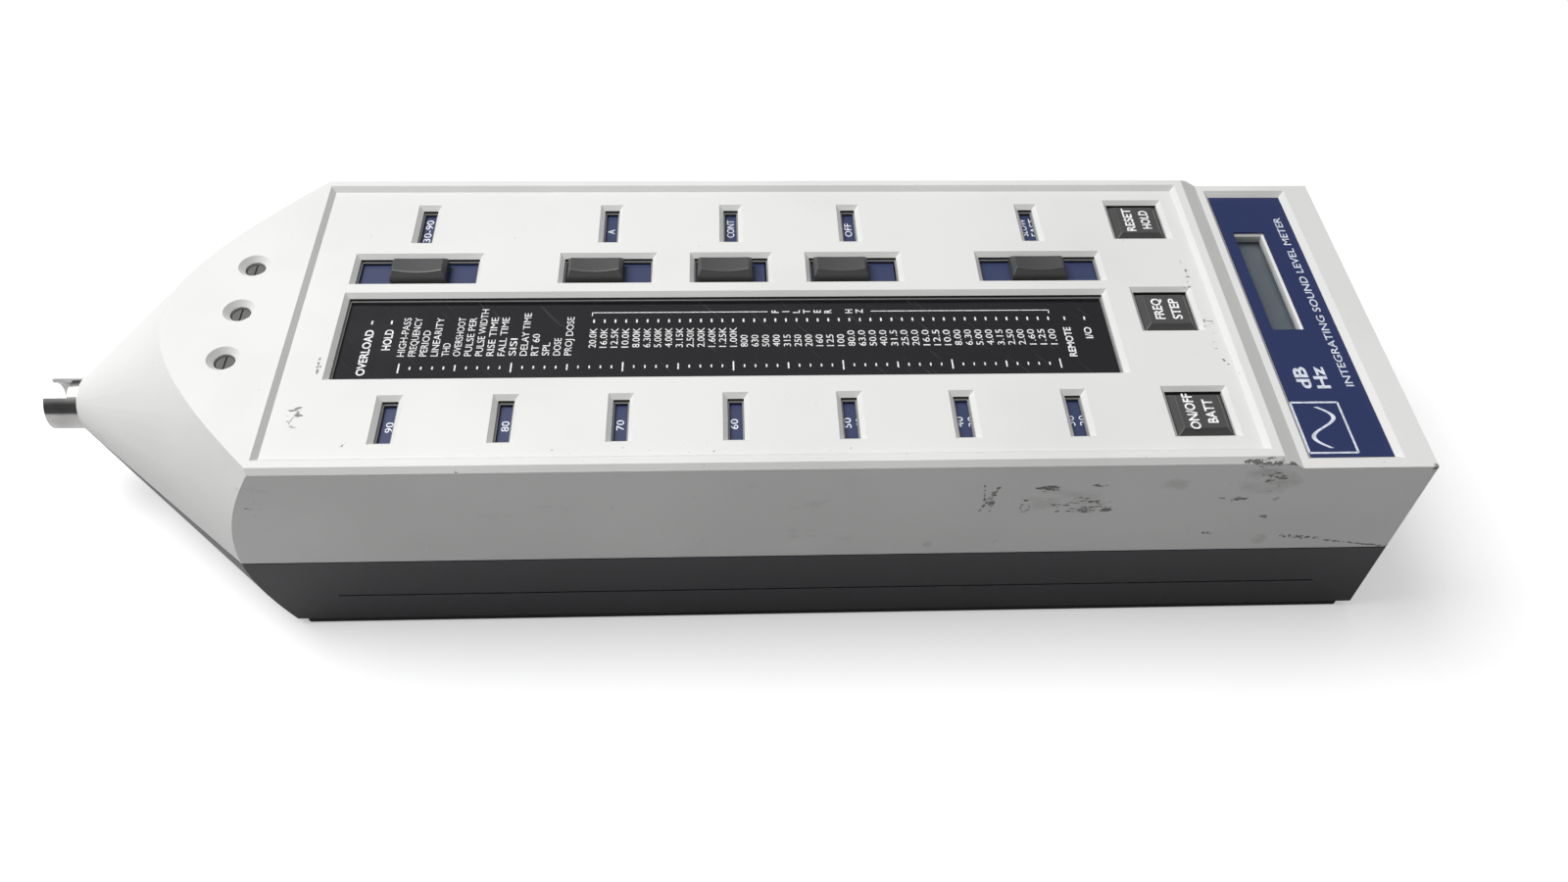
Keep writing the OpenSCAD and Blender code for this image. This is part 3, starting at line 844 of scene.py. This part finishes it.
def stand_in(node: str, name: str, mesh: Mesh, material: Material) -> Object:
    """Show a mesh in a node's place, on the node's body, and hide the node.

    Args:
        node: The frame's node.
        name: The new piece's name.
        mesh: The piece's mesh.
        material: The piece's material.

    Returns:
        The new piece.
    """
    source = frame["nodes"][node]
    piece = add_piece(name, mesh, source["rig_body"], material)
    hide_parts(node)
    return piece


def softened(node: str, name: str, radius: float, material: Material, segments: int = 2) -> Object:
    """Make a node again with its hard corners rounded, and show it in the node's place.

    Args:
        node: The frame's node.
        name: The new piece's name.
        radius: Corner radius in millimetres.
        material: The piece's material.
        segments: Steps round each corner.

    Returns:
        The new piece.
    """
    mesh = frame["nodes"][node].data.copy()
    work = bmesh.new()
    work.from_mesh(mesh)
    bmesh.ops.remove_doubles(work, verts=work.verts, dist=WELD)
    flat = math.radians(FLAT_DEGREES)
    bmesh.ops.dissolve_limit(work, angle_limit=flat, verts=work.verts, edges=work.edges)
    smooth_by_angle(work, SHARP_DEGREES)
    work.to_mesh(mesh)
    work.free()
    mesh.update()
    piece = stand_in(node, name, mesh, material)
    rounding = piece.modifiers.new("corner", "BEVEL")
    rounding.width = radius * MM
    rounding.segments = segments
    rounding.limit_method = "ANGLE"
    rounding.angle_limit = math.radians(ROUNDED_DEGREES)
    rounding.use_clamp_overlap = True
    rounding.harden_normals = True
    return piece


def dress(material: Material, nodes: Iterable[str]) -> None:
    """Give nodes of the frame a material.

    Args:
        material: The material.
        nodes: The nodes' names.
    """
    for node in nodes:
        mesh = frame["nodes"][node].data
        mesh.materials.clear()
        mesh.materials.append(material)


@dataclass
class Print:
    """Flat printing gathered into one thin mesh. It reads towards +Y, and its top is towards -X."""

    z: float
    work: bmesh.types.BMesh = field(default_factory=bmesh.new)

    def text(
        self, words: str, x: float, y: float, cap: float, length: Optional[float] = None,
        bold: float = 0.0, centred: bool = False,
    ) -> None:
        """Print words.

        Args:
            words: What to print.
            x: The base line's place in millimetres.
            y: Where the words start, or their middle, in millimetres.
            cap: Height of a capital letter in millimetres.
            length: Run of the words in millimetres, or None for their own.
            bold: Extra stroke in millimetres.
            centred: Whether y is the middle.
        """
        curve = bpy.data.curves.new("words", "FONT")
        curve.body = words
        curve.size = cap / CAPITAL_SHARE
        curve.resolution_u = 3
        curve.offset = bold
        curve.extrude = PRINT_HEIGHT / MM
        holder = bpy.data.objects.new("words", curve)
        bpy.context.scene.collection.objects.link(holder)
        bpy.context.view_layer.update()
        mesh = bpy.data.meshes.new_from_object(holder.evaluated_get(bpy.context.evaluated_depsgraph_get()))
        bpy.data.objects.remove(holder)
        bpy.data.curves.remove(curve)
        low = min(v.co.x for v in mesh.vertices)
        run = max(v.co.x for v in mesh.vertices) - low
        stretch = (length or run * LETTER_SQUEEZE) / run
        start = y - (run * stretch / 2 if centred else 0.0)
        for vertex in mesh.vertices:
            across, up = (vertex.co.x - low) * stretch, vertex.co.y
            vertex.co = Vector(((x - up) * MM, (start + across) * MM, self.z * MM + vertex.co.z * MM))
        self.work.from_mesh(mesh)
        bpy.data.meshes.remove(mesh)

    def bar(self, x: tuple[float, float], y: tuple[float, float]) -> None:
        """Print a filled bar.

        Args:
            x: Its two ends along X in millimetres.
            y: Its two ends along Y in millimetres.
        """
        self.prism([(x[0], y[0]), (x[1], y[0]), (x[1], y[1]), (x[0], y[1])])

    def dot(self, x: float, y: float, half_x: float, half_y: float) -> None:
        """Print a small filled bar round a middle.

        Args:
            x: Its middle along X in millimetres.
            y: Its middle along Y in millimetres.
            half_x: Half its size along X.
            half_y: Half its size along Y.
        """
        self.bar((x - half_x, x + half_x), (y - half_y, y + half_y))

    def prism(self, ring: Sequence[tuple[float, float]]) -> None:
        """Add a closed prism over an outline.

        Args:
            ring: The outline in millimetres, counter-clockwise.
        """
        low, high = self.z * MM - PRINT_HEIGHT, self.z * MM + PRINT_HEIGHT
        under = [self.work.verts.new((a * MM, b * MM, low)) for a, b in ring]
        over = [self.work.verts.new((a * MM, b * MM, high)) for a, b in ring]
        count = len(ring)
        self.work.faces.new(over)
        self.work.faces.new(under[::-1])
        for i in range(count):
            j = (i + 1) % count
            self.work.faces.new((under[i], under[j], over[j], over[i]))

    def piece(self, name: str, body: str, slot: str, material: Material) -> Object:
        """Finish the printing as one piece.

        Args:
            name: The piece's name.
            body: The body that it rides on.
            slot: The record's material slot; not used.
            material: The ink.

        Returns:
            The new object.
        """
        mesh = bpy.data.meshes.new(name)
        bmesh.ops.recalc_face_normals(self.work, faces=self.work.faces)
        self.work.to_mesh(mesh)
        self.work.free()
        return add_piece(name, mesh, body, material)


def place(node: str) -> tuple[Vector, Vector]:
    """Give a node's lowest and highest corners in millimetres."""
    low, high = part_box(node)
    return low / MM, high / MM


# Planes that carry the wear, in millimetres of the frame
SIDE_Y = -49.2
PANEL_Z = 57.8

# Patches of small dark chips
CHIPS = (
    Rub((77, SIDE_Y, 50.2), (5.5, 2, 2.2), 0.39),
    Rub((88.6, SIDE_Y, 51), (3.5, 2, 1.2), 0.36),
    Rub((84, SIDE_Y, 44.5), (16, 2, 4.5), 0.275),
    Rub((89, SIDE_Y, 42.2), (10, 2, 2.2), 0.31),
    Rub((72.5, SIDE_Y, 43.5), (2.6, 2, 5), 0.31),
    Rub((64.7, SIDE_Y, 46), (1.6, 2, 7.5), 0.33),
    Rub((124, SIDE_Y, 58), (9, 3, 2.6), 0.31),
    Rub((127, SIDE_Y, 53), (6, 2, 4.5), 0.285),
    Rub((129, SIDE_Y, 47), (3, 2, 6), 0.29),
    Rub((129, SIDE_Y, 38.4), (2, 2, 2), 0.30),
    Rub((120, SIDE_Y, 45.5), (8, 2, 1.8), 0.28),
    Rub((-98, SIDE_Y, 47), (5, 4, 7), 0.23),
    Rub((-89.5, -32.5, PANEL_Z), (3.5, 7, 2), 0.30),
    Rub((-87.2, -17, PANEL_Z), (1.3, 5, 2), 0.30),
    Rub((122, -8, PANEL_Z), (3.5, 12, 2), 0.235),
    Rub((120, 12, PANEL_Z), (3, 14, 2), 0.225),
    Rub((163, SIDE_Y, 55.5), (2.2, 2.2, 2.2), 0.32),
    Rub((0, SIDE_Y, 58.2), (170, 1.6, 1.0), 0.17),
    Rub((0, -43, PANEL_Z), (110, 7, 2), 0.165),
)

# Faint smudges
STAINS = (
    Rub((105, SIDE_Y, 50.6), (7, 2, 4), 0.38),
    Rub((126, SIDE_Y, 52), (14, 2, 9), 0.40),
    Rub((82, SIDE_Y, 45), (20, 2, 10), 0.32),
    Rub((130.7, SIDE_Y, 29.9), (4, 2, 3.5), 0.45),
    Rub((61.4, SIDE_Y, 30.6), (3, 2, 3), 0.36),
    Rub((52.1, SIDE_Y, 29.7), (2.5, 2, 2.5), 0.36),
    Rub((68, SIDE_Y, 29.8), (2.5, 2, 2.5), 0.36),
    Rub((-97, SIDE_Y, 50), (9, 5, 9), 0.27),
    Rub((10, SIDE_Y, 40), (170, 2, 22), 0.21),
)

# Line scratches
CUTS = (
    Mark((135.9, SIDE_Y, 30.9), (144.8, SIDE_Y, 29.6), 0.9),
    Mark((147.0, SIDE_Y, 28.9), (163.2, SIDE_Y, 25.9), 0.55),
    Mark((86.2, SIDE_Y, 42.8), (91.0, SIDE_Y, 43.4), 0.5),
    Mark((79.5, SIDE_Y, 41.6), (88.5, SIDE_Y, 41.2), 0.55),
    Mark((118.5, SIDE_Y, 58.4), (131.0, SIDE_Y, 57.6), 0.9),
    Mark((126.5, SIDE_Y, 53.2), (130.4, SIDE_Y, 52.4), 0.6),
    Mark((65.6, SIDE_Y, 50.6), (62.3, SIDE_Y, 42.0), 0.6),
    Mark((62.2, SIDE_Y, 51.2), (62.9, SIDE_Y, 46.0), 0.45),
    Mark((116.4, SIDE_Y, 32.5), (118.6, SIDE_Y, 32.3), 0.7),
    Mark((-69.4, SIDE_Y, 58.2), (-68.2, SIDE_Y, 58.1), 0.5),
    Mark((-87.4, -14.5, PANEL_Z), (-87.2, -19.5, PANEL_Z), 0.4),
    Mark((-88.4, -30.5, PANEL_Z), (-90.6, -34.5, PANEL_Z), 0.5),
    Mark((-78.0, -41.5, PANEL_Z), (-77.2, -40.4, PANEL_Z), 0.4),
    Mark((122.4, -17.5, PANEL_Z), (123.3, -19.0, PANEL_Z), 0.4),
)


# ------------------------------------------------------------ sub-assemblies


@dataclass
class UpperCase:
    """The white upper shell."""

    corner: float = 0.3
    shaded_walls_y: float = 43.0
    white: Colour = (0.62, 0.625, 0.61)
    shade: Colour = (0.585, 0.59, 0.575)

    def build(self) -> None:
        """Make the shell."""
        low, high = place("bezel_frame")
        paint = CasePaint(
            "case white",
            self.white,
            self.shade,
            # The box where shade is painted on the window walls that face -Y
            (low.x - 1, -self.shaded_walls_y, high.z - 0.5),
            (high.x + 21, self.shaded_walls_y, high.z + 1.08),
            CHIPS,
            STAINS,
            CUTS,
        )
        softened("top_shell", "upper_case", self.corner, paint.build())


@dataclass
class LowerCase:
    """The charcoal lower shell, its rails, cover, screws and tripod bush."""

    corner: float = 0.35
    charcoal: Colour = (0.021, 0.0215, 0.0255)

    def build(self) -> None:
        """Make the lower case."""
        plastic = Plastic(
            "case charcoal", self.charcoal, (0.10, 0.10, 0.105), 0.42, 2400.0, 0.06, 0.5, 0.12
        ).build()
        softened("bottom_shell", "lower_case", self.corner, plastic)
        softened("battery_cover", "bay_cover", 0.25, plastic)
        rubber = Plastic(
            "black rubber", (0.016, 0.016, 0.016), (0.05, 0.05, 0.05), 0.75, 900.0, 0.08
        ).build()
        softened("foot_rails", "rubber_rails", 0.6, rubber, 3)
        steel = Metal("zinc steel", (0.55, 0.55, 0.54), 0.32).build()
        dress(steel, ["case_screws"])
        dress(Metal("bush brass", (0.66, 0.49, 0.24), 0.3, (1, 1, 0.2)).build(), ["tripod_insert"])


@dataclass
class NoseSocket:
    """The plated ring on the nose, with its insulator and contacts."""

    plate: Colour = (0.50, 0.495, 0.485)

    def build(self) -> None:
        """Make the socket."""
        nickel = Metal("bright nickel", self.plate, 0.17, (6.0, 0.15, 0.15)).build()
        softened("socket_ring", "nose_ring", 0.15, nickel)
        dress(nickel, ["socket_nut"])
        insulator = Plastic("socket insulator", (0.05, 0.05, 0.05), (0.1, 0.1, 0.1), 0.4, 3000.0).build()
        dress(insulator, ["socket_insulator"])
        dress(Metal("contact gold", (0.80, 0.58, 0.24), 0.2).build(), ["socket_pins"])


@dataclass
class DisplayWindow:
    """The black bar-graph window with its printed scales."""

    tick_pitch: float = 2.573
    first_tick: float = -70.0
    decades: int = 6
    tick_y: float = -16.0
    dot_y: float = -0.9
    dot_half: tuple[float, float] = (0.2, 0.55)
    line_y: float = 2.0
    line_half: float = 0.12
    title_column: int = 17
    tick_half: tuple[float, float, float, float] = (0.17, 1.5, 0.95, 0.45)
    band_start: float = -26.0
    band_pitch: float = 2.558
    mantissas: tuple[str, ...] = (
        "8.00", "6.30", "5.00", "4.00", "3.15", "2.50", "2.00", "1.60", "1.25", "1.00",
    )
    functions: tuple[str, ...] = (
        "HIGH-PASS", "FREQUENCY", "PERIOD", "LINEARITY", "THD", "OVERSHOOT", "PULSE PER", "PULSE WIDTH",
        "RISE TIME", "FALL TIME", "SISI", "DELAY TIME", "RT 60", "SPL", "DOSE", "PROJ DOSE",
    )

    def bands(self) -> list[str]:
        """Work out the third-octave band names from high to low.

        Returns:
            The names.
        """
        top = ["20.0K", "16.0K", "12.5K", "10.0K"]
        kilo = [m + "K" for m in self.mantissas]
        hundreds = [m.replace(".", "") for m in self.mantissas]
        tens = [m[0] + m[2] + "." + m[3] for m in self.mantissas]
        return top + kilo + hundreds + tens + list(self.mantissas)

    def print_functions(self, sheet: Print) -> None:
        """Print the words at the nose end.

        Args:
            sheet: The printing.
        """
        sheet.text("OVERLOAD", -77.5, -18.2, 2.0, 14.8, 0.05)
        sheet.text("HOLD", -72.9, -10.1, 2.0, 6.8, 0.05)
        for x in (-78.4, -73.8):
            sheet.dot(x, self.dot_y, self.dot_half[0], 0.6)
        for i, words in enumerate(self.functions):
            x = self.first_tick + 0.7 + i * self.tick_pitch
            sheet.text(words, x, -12.2, 1.75, 1.42 * len(words))

    def print_bands(self, sheet: Print) -> None:
        """Print the filter bands, their dots and the bracket over them.

        Args:
            sheet: The printing.
        """
        names = self.bands()
        for i, words in enumerate(names):
            x = self.band_start + i * self.band_pitch
            sheet.text(words, x + 0.85, -9.8, 1.75, 1.3 * len(words))
            sheet.dot(x, self.dot_y, *self.dot_half)
        end = self.band_start + (len(names) - 1) * self.band_pitch
        y, half, title = self.line_y, self.line_half, "FILTER HZ"
        title_x = self.band_start + self.title_column * self.band_pitch
        title_end = title_x + len(title) * self.band_pitch
        for x in ((self.band_start - 0.5, title_x - 1.8), (title_end + 0.3, end + 0.5)):
            sheet.bar(x, (y - half, y + half))
        for x in (self.band_start - 0.5, end + 0.5):
            sheet.bar((x - half, x + half), (y - 1.1, y + half))
        for i, letter in enumerate(title):
            if letter != " ":
                x = title_x + i * self.band_pitch + 0.9
                sheet.text(letter, x, y, 1.8, bold=0.03, centred=True)
        sheet.text("REMOTE", 88.8, -13.8, 1.8, 9.8, 0.05)
        sheet.text("I/O", 93.8, -7.8, 1.8, 3.8, 0.04)
        for x in (88.0, 92.9):
            sheet.dot(x, self.dot_y, *self.dot_half)

    def print_scale(self, sheet: Print) -> None:
        """Print the level ticks along the near edge.

        Args:
            sheet: The printing.
        """
        thick, ten, five, one = self.tick_half
        for i in range(self.decades * 10 + 1):
            half = ten if i % 10 == 0 else five if i % 5 == 0 else one
            sheet.dot(self.first_tick + i * self.tick_pitch, self.tick_y, thick, half)

    def build(self) -> None:
        """Make the window."""
        black = GlossPanel("display black", (0.007, 0.006, 0.008), 0.13, 0.0, 0.35, 0.07).build()
        dress(black, ["bar_window"])
        frame_grey = Plastic("frame grey", (0.19, 0.195, 0.19), (0.3, 0.3, 0.3), 0.45, 2600.0, 0.03, 0.3)
        softened("bezel_frame", "bezel", 0.08, frame_grey.build(), 1)
        sheet = Print(place("bar_window")[1].z)
        self.print_functions(sheet)
        self.print_bands(sheet)
        self.print_scale(sheet)
        ink = Ink("display ink", (0.80, 0.79, 0.80)).build()
        sheet.piece("display_legends", "case", "smoked_acrylic", ink)


class Setting(Enum):
    """Words on each slider's legend plate, from the one in view outwards."""

    RANGE = ("30-90",)
    WEIGHTING = ("A", "C", "F")
    AVERAGE = ("CONT", "1 S")
    FILTER = ("OFF", "ON")
    DETECTOR = ("SLOW", "FAST")


@dataclass
class SliderBank:
    """Five slider knobs on blue legend plates."""

    near_pitch: float = 25.46
    near_first: float = -69.1
    near_step: float = 2.8
    near_windows: int = 7
    near_y: float = -35.3
    top_level: int = 90
    window_x: tuple[float, ...] = (-69.75, -23.35, 7.2, 37.6, 83.5)
    start_y: tuple[float, ...] = (28.2, 31.2, 29.7, 29.9, 29.8)
    steps: tuple[float, ...] = (2.9, 3.2, 3.2, 6.8, 2.7)

    def range_numbers(self, sheet: Print) -> None:
        """Print the numbers that show in the near windows, one column for each range.

        Args:
            sheet: The range plate's printing.
        """
        for i in range(self.near_windows):
            for step in (-1, 0, 1):
                level = str(self.top_level - 10 * (i + step))
                x = self.near_first + i * self.near_pitch + step * self.near_step
                sheet.text(level, x + 0.7, self.near_y, 1.75, 1.5 * len(level))

    def build(self) -> None:
        """Make the sliders."""
        knob = Plastic(
            "slider black", (0.050, 0.051, 0.050), (0.16, 0.16, 0.16), 0.38, 2600.0, 0.03, 0.45, 0.1
        ).build()
        navy = GlossPanel("legend navy", (0.025, 0.035, 0.092), 0.4, 0.1, 0.2, 0.05).build()
        ink = Ink("legend ink", (0.80, 0.82, 0.88)).build()
        for number, setting in enumerate(Setting, 1):
            body = f"slider_{number}"
            softened(f"slider_knob_{number}", f"knob_{number}", 0.22, knob, 3)
            softened(f"slider_plate_{number}", f"plate_{number}", 0.08, navy, 1)
            sheet = Print(place(f"slider_plate_{number}")[1].z)
            for i, words in enumerate(setting.value):
                x = self.window_x[number - 1] + i * self.steps[number - 1]
                sheet.text(words, x + 0.8, self.start_y[number - 1], 1.9, 1.7 * len(words))
            if setting is Setting.RANGE:
                self.range_numbers(sheet)
            sheet.piece(f"plate_legend_{number}", body, "legend_blue", ink)


@dataclass
class KeyGroup:
    """Three sprung keys with two-line legends."""

    words: tuple[tuple[str, str], ...] = (("RESET", "HOLD"), ("FREQ", "STEP"), ("ON/OFF", "BATT"))
    lines_x: tuple[float, float] = (111.9, 116.2)
    letter: float = 1.78
    pressed_share: float = 0.727

    def coil(self, number: int, wire: Material) -> None:
        """Make a key's spring again as its own piece in the node's place.

        Args:
            number: The key's number.
            wire: The wire's material.
        """
        node = f"button_spring_{number}"
        piece = stand_in(node, f"spring_{number}", frame["nodes"][node].data.copy(), wire)
        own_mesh(piece)

    def build(self) -> None:
        """Make the keys."""
        cap = Plastic(
            "key black", (0.052, 0.053, 0.052), (0.15, 0.15, 0.15), 0.36, 2600.0, 0.03, 0.4, 0.1
        ).build()
        ink = Ink("key ink", (0.86, 0.86, 0.86)).build()
        spring = Metal("spring wire", (0.5, 0.5, 0.5), 0.3).build()
        for number, pair in enumerate(self.words, 1):
            softened(f"button_cap_{number}", f"key_{number}", 0.25, cap, 3)
            low, high = place(f"button_cap_{number}")
            middle = (low.y + high.y) / 2
            sheet = Print(high.z)
            for x, words in zip(self.lines_x, pair):
                sheet.text(words, x, middle, 2.35, self.letter * len(words), 0.07, True)
            sheet.piece(f"key_legend_{number}", f"button_{number}", "key_black", ink)
            self.coil(number, spring)


@dataclass
class LabelDeck:
    """The blue label with its sign, words and the digital readout."""

    navy: Colour = (0.012, 0.022, 0.086)
    sign_middle: tuple[float, float] = (141.6, -36.2)
    sign_half: tuple[float, float] = (5.6, 7.6)

    def sign(self, sheet: Print) -> None:
        """Print a sine wave in a square-cornered frame.

        Args:
            sheet: The label's printing.
        """
        x, y = self.sign_middle
        hx, hy = self.sign_half
        steps, swing, thick, margin, line = 48, 3.2, 0.5, 1.4, 0.25
        for side in (-1, 1):
            sheet.dot(x + side * hx, y, line, hy)
            sheet.dot(x, y + side * hy, hx, line)
        run = 2 * (hy - margin)
        for i in range(steps):
            ys = [y - hy + margin + run * k / steps for k in (i, i + 1)]
            xs = [x - swing * math.sin(2 * math.pi * k / steps) for k in (i, i + 1)]
            near = [(xs[0] - thick, ys[0]), (xs[0] + thick, ys[0])]
            sheet.prism(near + [(xs[1] + thick, ys[1]), (xs[1] - thick, ys[1])])

    def build(self) -> None:
        """Make the label and the readout."""
        blue = GlossPanel("label navy", self.navy, 0.3, 0.2, 0.1, 0.04).build()
        dress(blue, ["label_plate"])
        sheet = Print(place("label_plate")[1].z)
        self.sign(sheet)
        sheet.text("dB", 142.8, -24.2, 3.2, 7.0, 0.12)
        sheet.text("Hz", 147.2, -24.2, 3.2, 7.0, 0.12)
        sheet.text("INTEGRATING SOUND LEVEL METER", 153.0, -23.6, 2.0, 61.0, 0.02)
        sheet.piece("label_printing", "case", "label_blue", Ink("label ink", (0.62, 0.66, 0.74)).build())
        dress(ClearSheet("lens clear", (0.10, 0.12, 0.14), 0.12).build(), ["lcd_lens"])
        dress(CrystalCell("crystal cell", (0.115, 0.135, 0.155)).build(), ["lcd_module", "bar_display"])


@dataclass
class PlainParts:
    """Trimmers, tail ports and what the shells hold: each finish with the nodes that wear it."""

    finishes: tuple[tuple[object, tuple[str, ...]], ...] = (
        (Plastic("trimmer body", (0.06, 0.06, 0.06), (0.10, 0.10, 0.10), 0.6), ("trimmer_bodies",)),
        (
            Plastic("trimmer rotor", (0.075, 0.075, 0.072), (0.10, 0.10, 0.10), 0.6),
            ("trimmer_rotor_1", "trimmer_rotor_2", "trimmer_rotor_3"),
        ),
        (
            Plastic("port black", (0.02, 0.02, 0.02), (0.1, 0.1, 0.1), 0.4, 3000.0),
            ("io_socket_insert", "output_jack", "power_jack"),
        ),
        (Metal("port nickel", (0.66, 0.65, 0.62), 0.22, (6.0, 0.2, 0.2)), ("io_socket", "power_jack_pin")),
        (
            CircuitBoard("board green", (0.012, 0.075, 0.03), (0.03, 0.13, 0.06)),
            ("main_board", "filter_board"),
        ),
        (
            Metal("tin plate", (0.60, 0.60, 0.58), 0.35),
            ("shield_can", "slide_switches", "battery_contacts", "board_screws"),
        ),
        (Metal("spacer brass", (0.66, 0.5, 0.25), 0.3), ("board_spacers",)),
        (Plastic("switch black", (0.02, 0.02, 0.02), (0.08, 0.08, 0.08)), ("key_switches",)),
        (Plastic("contact rubber", (0.08, 0.08, 0.08), (0.1, 0.1, 0.1), 0.8), ("display_connectors",)),
        (Plastic("ribbon grey", (0.32, 0.32, 0.32), (0.4, 0.4, 0.4), 0.5), ("ribbon_cable",)),
        (Plastic("cell sleeve", (0.03, 0.09, 0.22), (0.3, 0.3, 0.3), 0.3), ("batteries",)),
    )

    def build(self) -> None:
        """Dress the parts."""
        for finish, nodes in self.finishes:
            dress(finish.build(), nodes)


# ------------------------------------------------------------------ the stage


@dataclass
class Stage:
    """Floor, light and camera."""

    floor_half: float = 3.0
    floor_drop: float = 0.00003
    opening_x: tuple[float, float] = (-0.092, 0.155)
    opening_y: float = 0.043
    floor_glow: float = 0.42
    backdrop: Colour = (0.80, 0.80, 0.805)
    camera_mm: Point = (4.8, -221.6, 270.7)
    pitch: float = 0.7045
    roll: float = 0.0445
    yaw: float = -0.0727
    lens: float = 29.23

    def floor(self) -> None:
        """Lay a plain pale floor.

        It is clear when it is looked at from below, and open under the case, so the underside can be seen.
        """
        material, t, shader = new_material("floor")
        where = t.where()
        cloud = t.ramp(t.noise(where, 9.0, 3.0), 0.3, 0.7)
        t.feed(shader.inputs["Base Color"], t.mix(cloud, (0.62, 0.62, 0.625), (0.60, 0.60, 0.605)))
        shader.inputs["Roughness"].default_value = 0.8
        seen = t.add("ShaderNodeLightPath").outputs["Is Camera Ray"]
        t.feed(shader.inputs["Emission Color"], t.mix(seen, (0.0, 0.0, 0.0), (1.0, 1.0, 1.0)))
        shader.inputs["Emission Strength"].default_value = self.floor_glow
        under = t.add("ShaderNodeNewGeometry").outputs["Backfacing"]
        t.feed(shader.inputs["Alpha"], t.math("SUBTRACT", 1.0, under))
        mesh = bpy.data.meshes.new("floor")
        half = self.floor_half
        z = -self.floor_drop
        (left, right), side = self.opening_x, self.opening_y
        corners = [(-half, -half, z), (half, -half, z), (half, half, z), (-half, half, z)]
        corners += [(left, -side, z), (right, -side, z), (right, side, z), (left, side, z)]
        faces = [(i, (i + 1) % 4, 4 + (i + 1) % 4, 4 + i) for i in range(4)]
        mesh.from_pydata([Vector(c) for c in corners], [], faces)
        mesh.materials.append(material)
        floor = bpy.data.objects.new("floor", mesh)
        bpy.context.scene.collection.objects.link(floor)

    def lamp(self, name: str, place_at: Point, size: float, power: float) -> None:
        """Hang a soft square lamp that looks at the middle of the meter and isn't seen itself.

        Args:
            name: The lamp's name.
            place_at: Where it hangs, in metres.
            size: Its side in metres.
            power: Its power in watts.
        """
        light = bpy.data.lights.new(name, "AREA")
        light.shape = "SQUARE"
        light.size = size
        light.energy = power
        holder = bpy.data.objects.new(name, light)
        aim = Vector((0.0, 0.0, 0.03)) - Vector(place_at)
        holder.location = place_at
        holder.rotation_euler = aim.to_track_quat("-Z", "Y").to_euler()
        holder.visible_camera = False
        bpy.context.scene.collection.objects.link(holder)

    def world(self) -> None:
        """Light the surroundings softly, brighter from above and behind, in front of a pale backdrop."""
        world = bpy.data.worlds.new("studio")
        world.use_nodes = True
        t = Tree(world.node_tree)
        where = t.add("ShaderNodeTexCoord").outputs["Generated"]
        lift = t.vector("DOT_PRODUCT", where, (-0.15, 0.2, 0.97))
        shade = t.mix(t.ramp(lift, 0.5, 1.0), (0.09, 0.09, 0.093), (0.8, 0.8, 0.8))
        seen = t.add("ShaderNodeLightPath").outputs["Is Camera Ray"]
        background = t.add("ShaderNodeBackground")
        t.feed(background.inputs["Color"], t.mix(seen, shade, self.backdrop))
        output = t.add("ShaderNodeOutputWorld")
        t.feed(output.inputs["Surface"], background.outputs["Background"])
        bpy.context.scene.world = world

    def camera(self) -> None:
        """Set the camera at the viewing angle."""
        data = bpy.data.cameras.new("camera")
        data.lens = self.lens
        data.sensor_width = 36.0
        data.clip_start = 0.01
        camera = bpy.data.objects.new("camera", data)
        turn = (
            Matrix.Rotation(self.yaw, 4, "Z")
            @ Matrix.Rotation(self.pitch, 4, "X")
            @ Matrix.Rotation(self.roll, 4, "Z")
        )
        camera.matrix_world = Matrix.Translation(Vector(metres(self.camera_mm))) @ turn
        bpy.context.scene.collection.objects.link(camera)
        bpy.context.scene.camera = camera

    def build(self) -> None:
        """Set the whole stage."""
        self.camera()
        self.floor()
        self.world()
        self.lamp("overhead", (-0.55, 0.20, 1.12), 0.75, 17.6)
        self.lamp("nose_fill", (-1.25, 0.05, 0.55), 0.8, 1.6)
        self.lamp("underside", (0.0, -0.3, -1.1), 0.8, 16.0)
        bpy.context.scene.view_settings.view_transform = "Standard"


def main() -> None:
    """Build every sub-assembly in order and report each one."""
    logging.basicConfig(level=logging.INFO, format="%(name)s: %(message)s")
    parts = (
        Stage(), UpperCase(), LowerCase(), NoseSocket(), DisplayWindow(), SliderBank(),
        KeyGroup(), LabelDeck(), PlainParts(),
    )
    for part in parts:
        part.build()
        LOG.info("built %s", type(part).__name__)


if __name__ == "__main__":
    main()
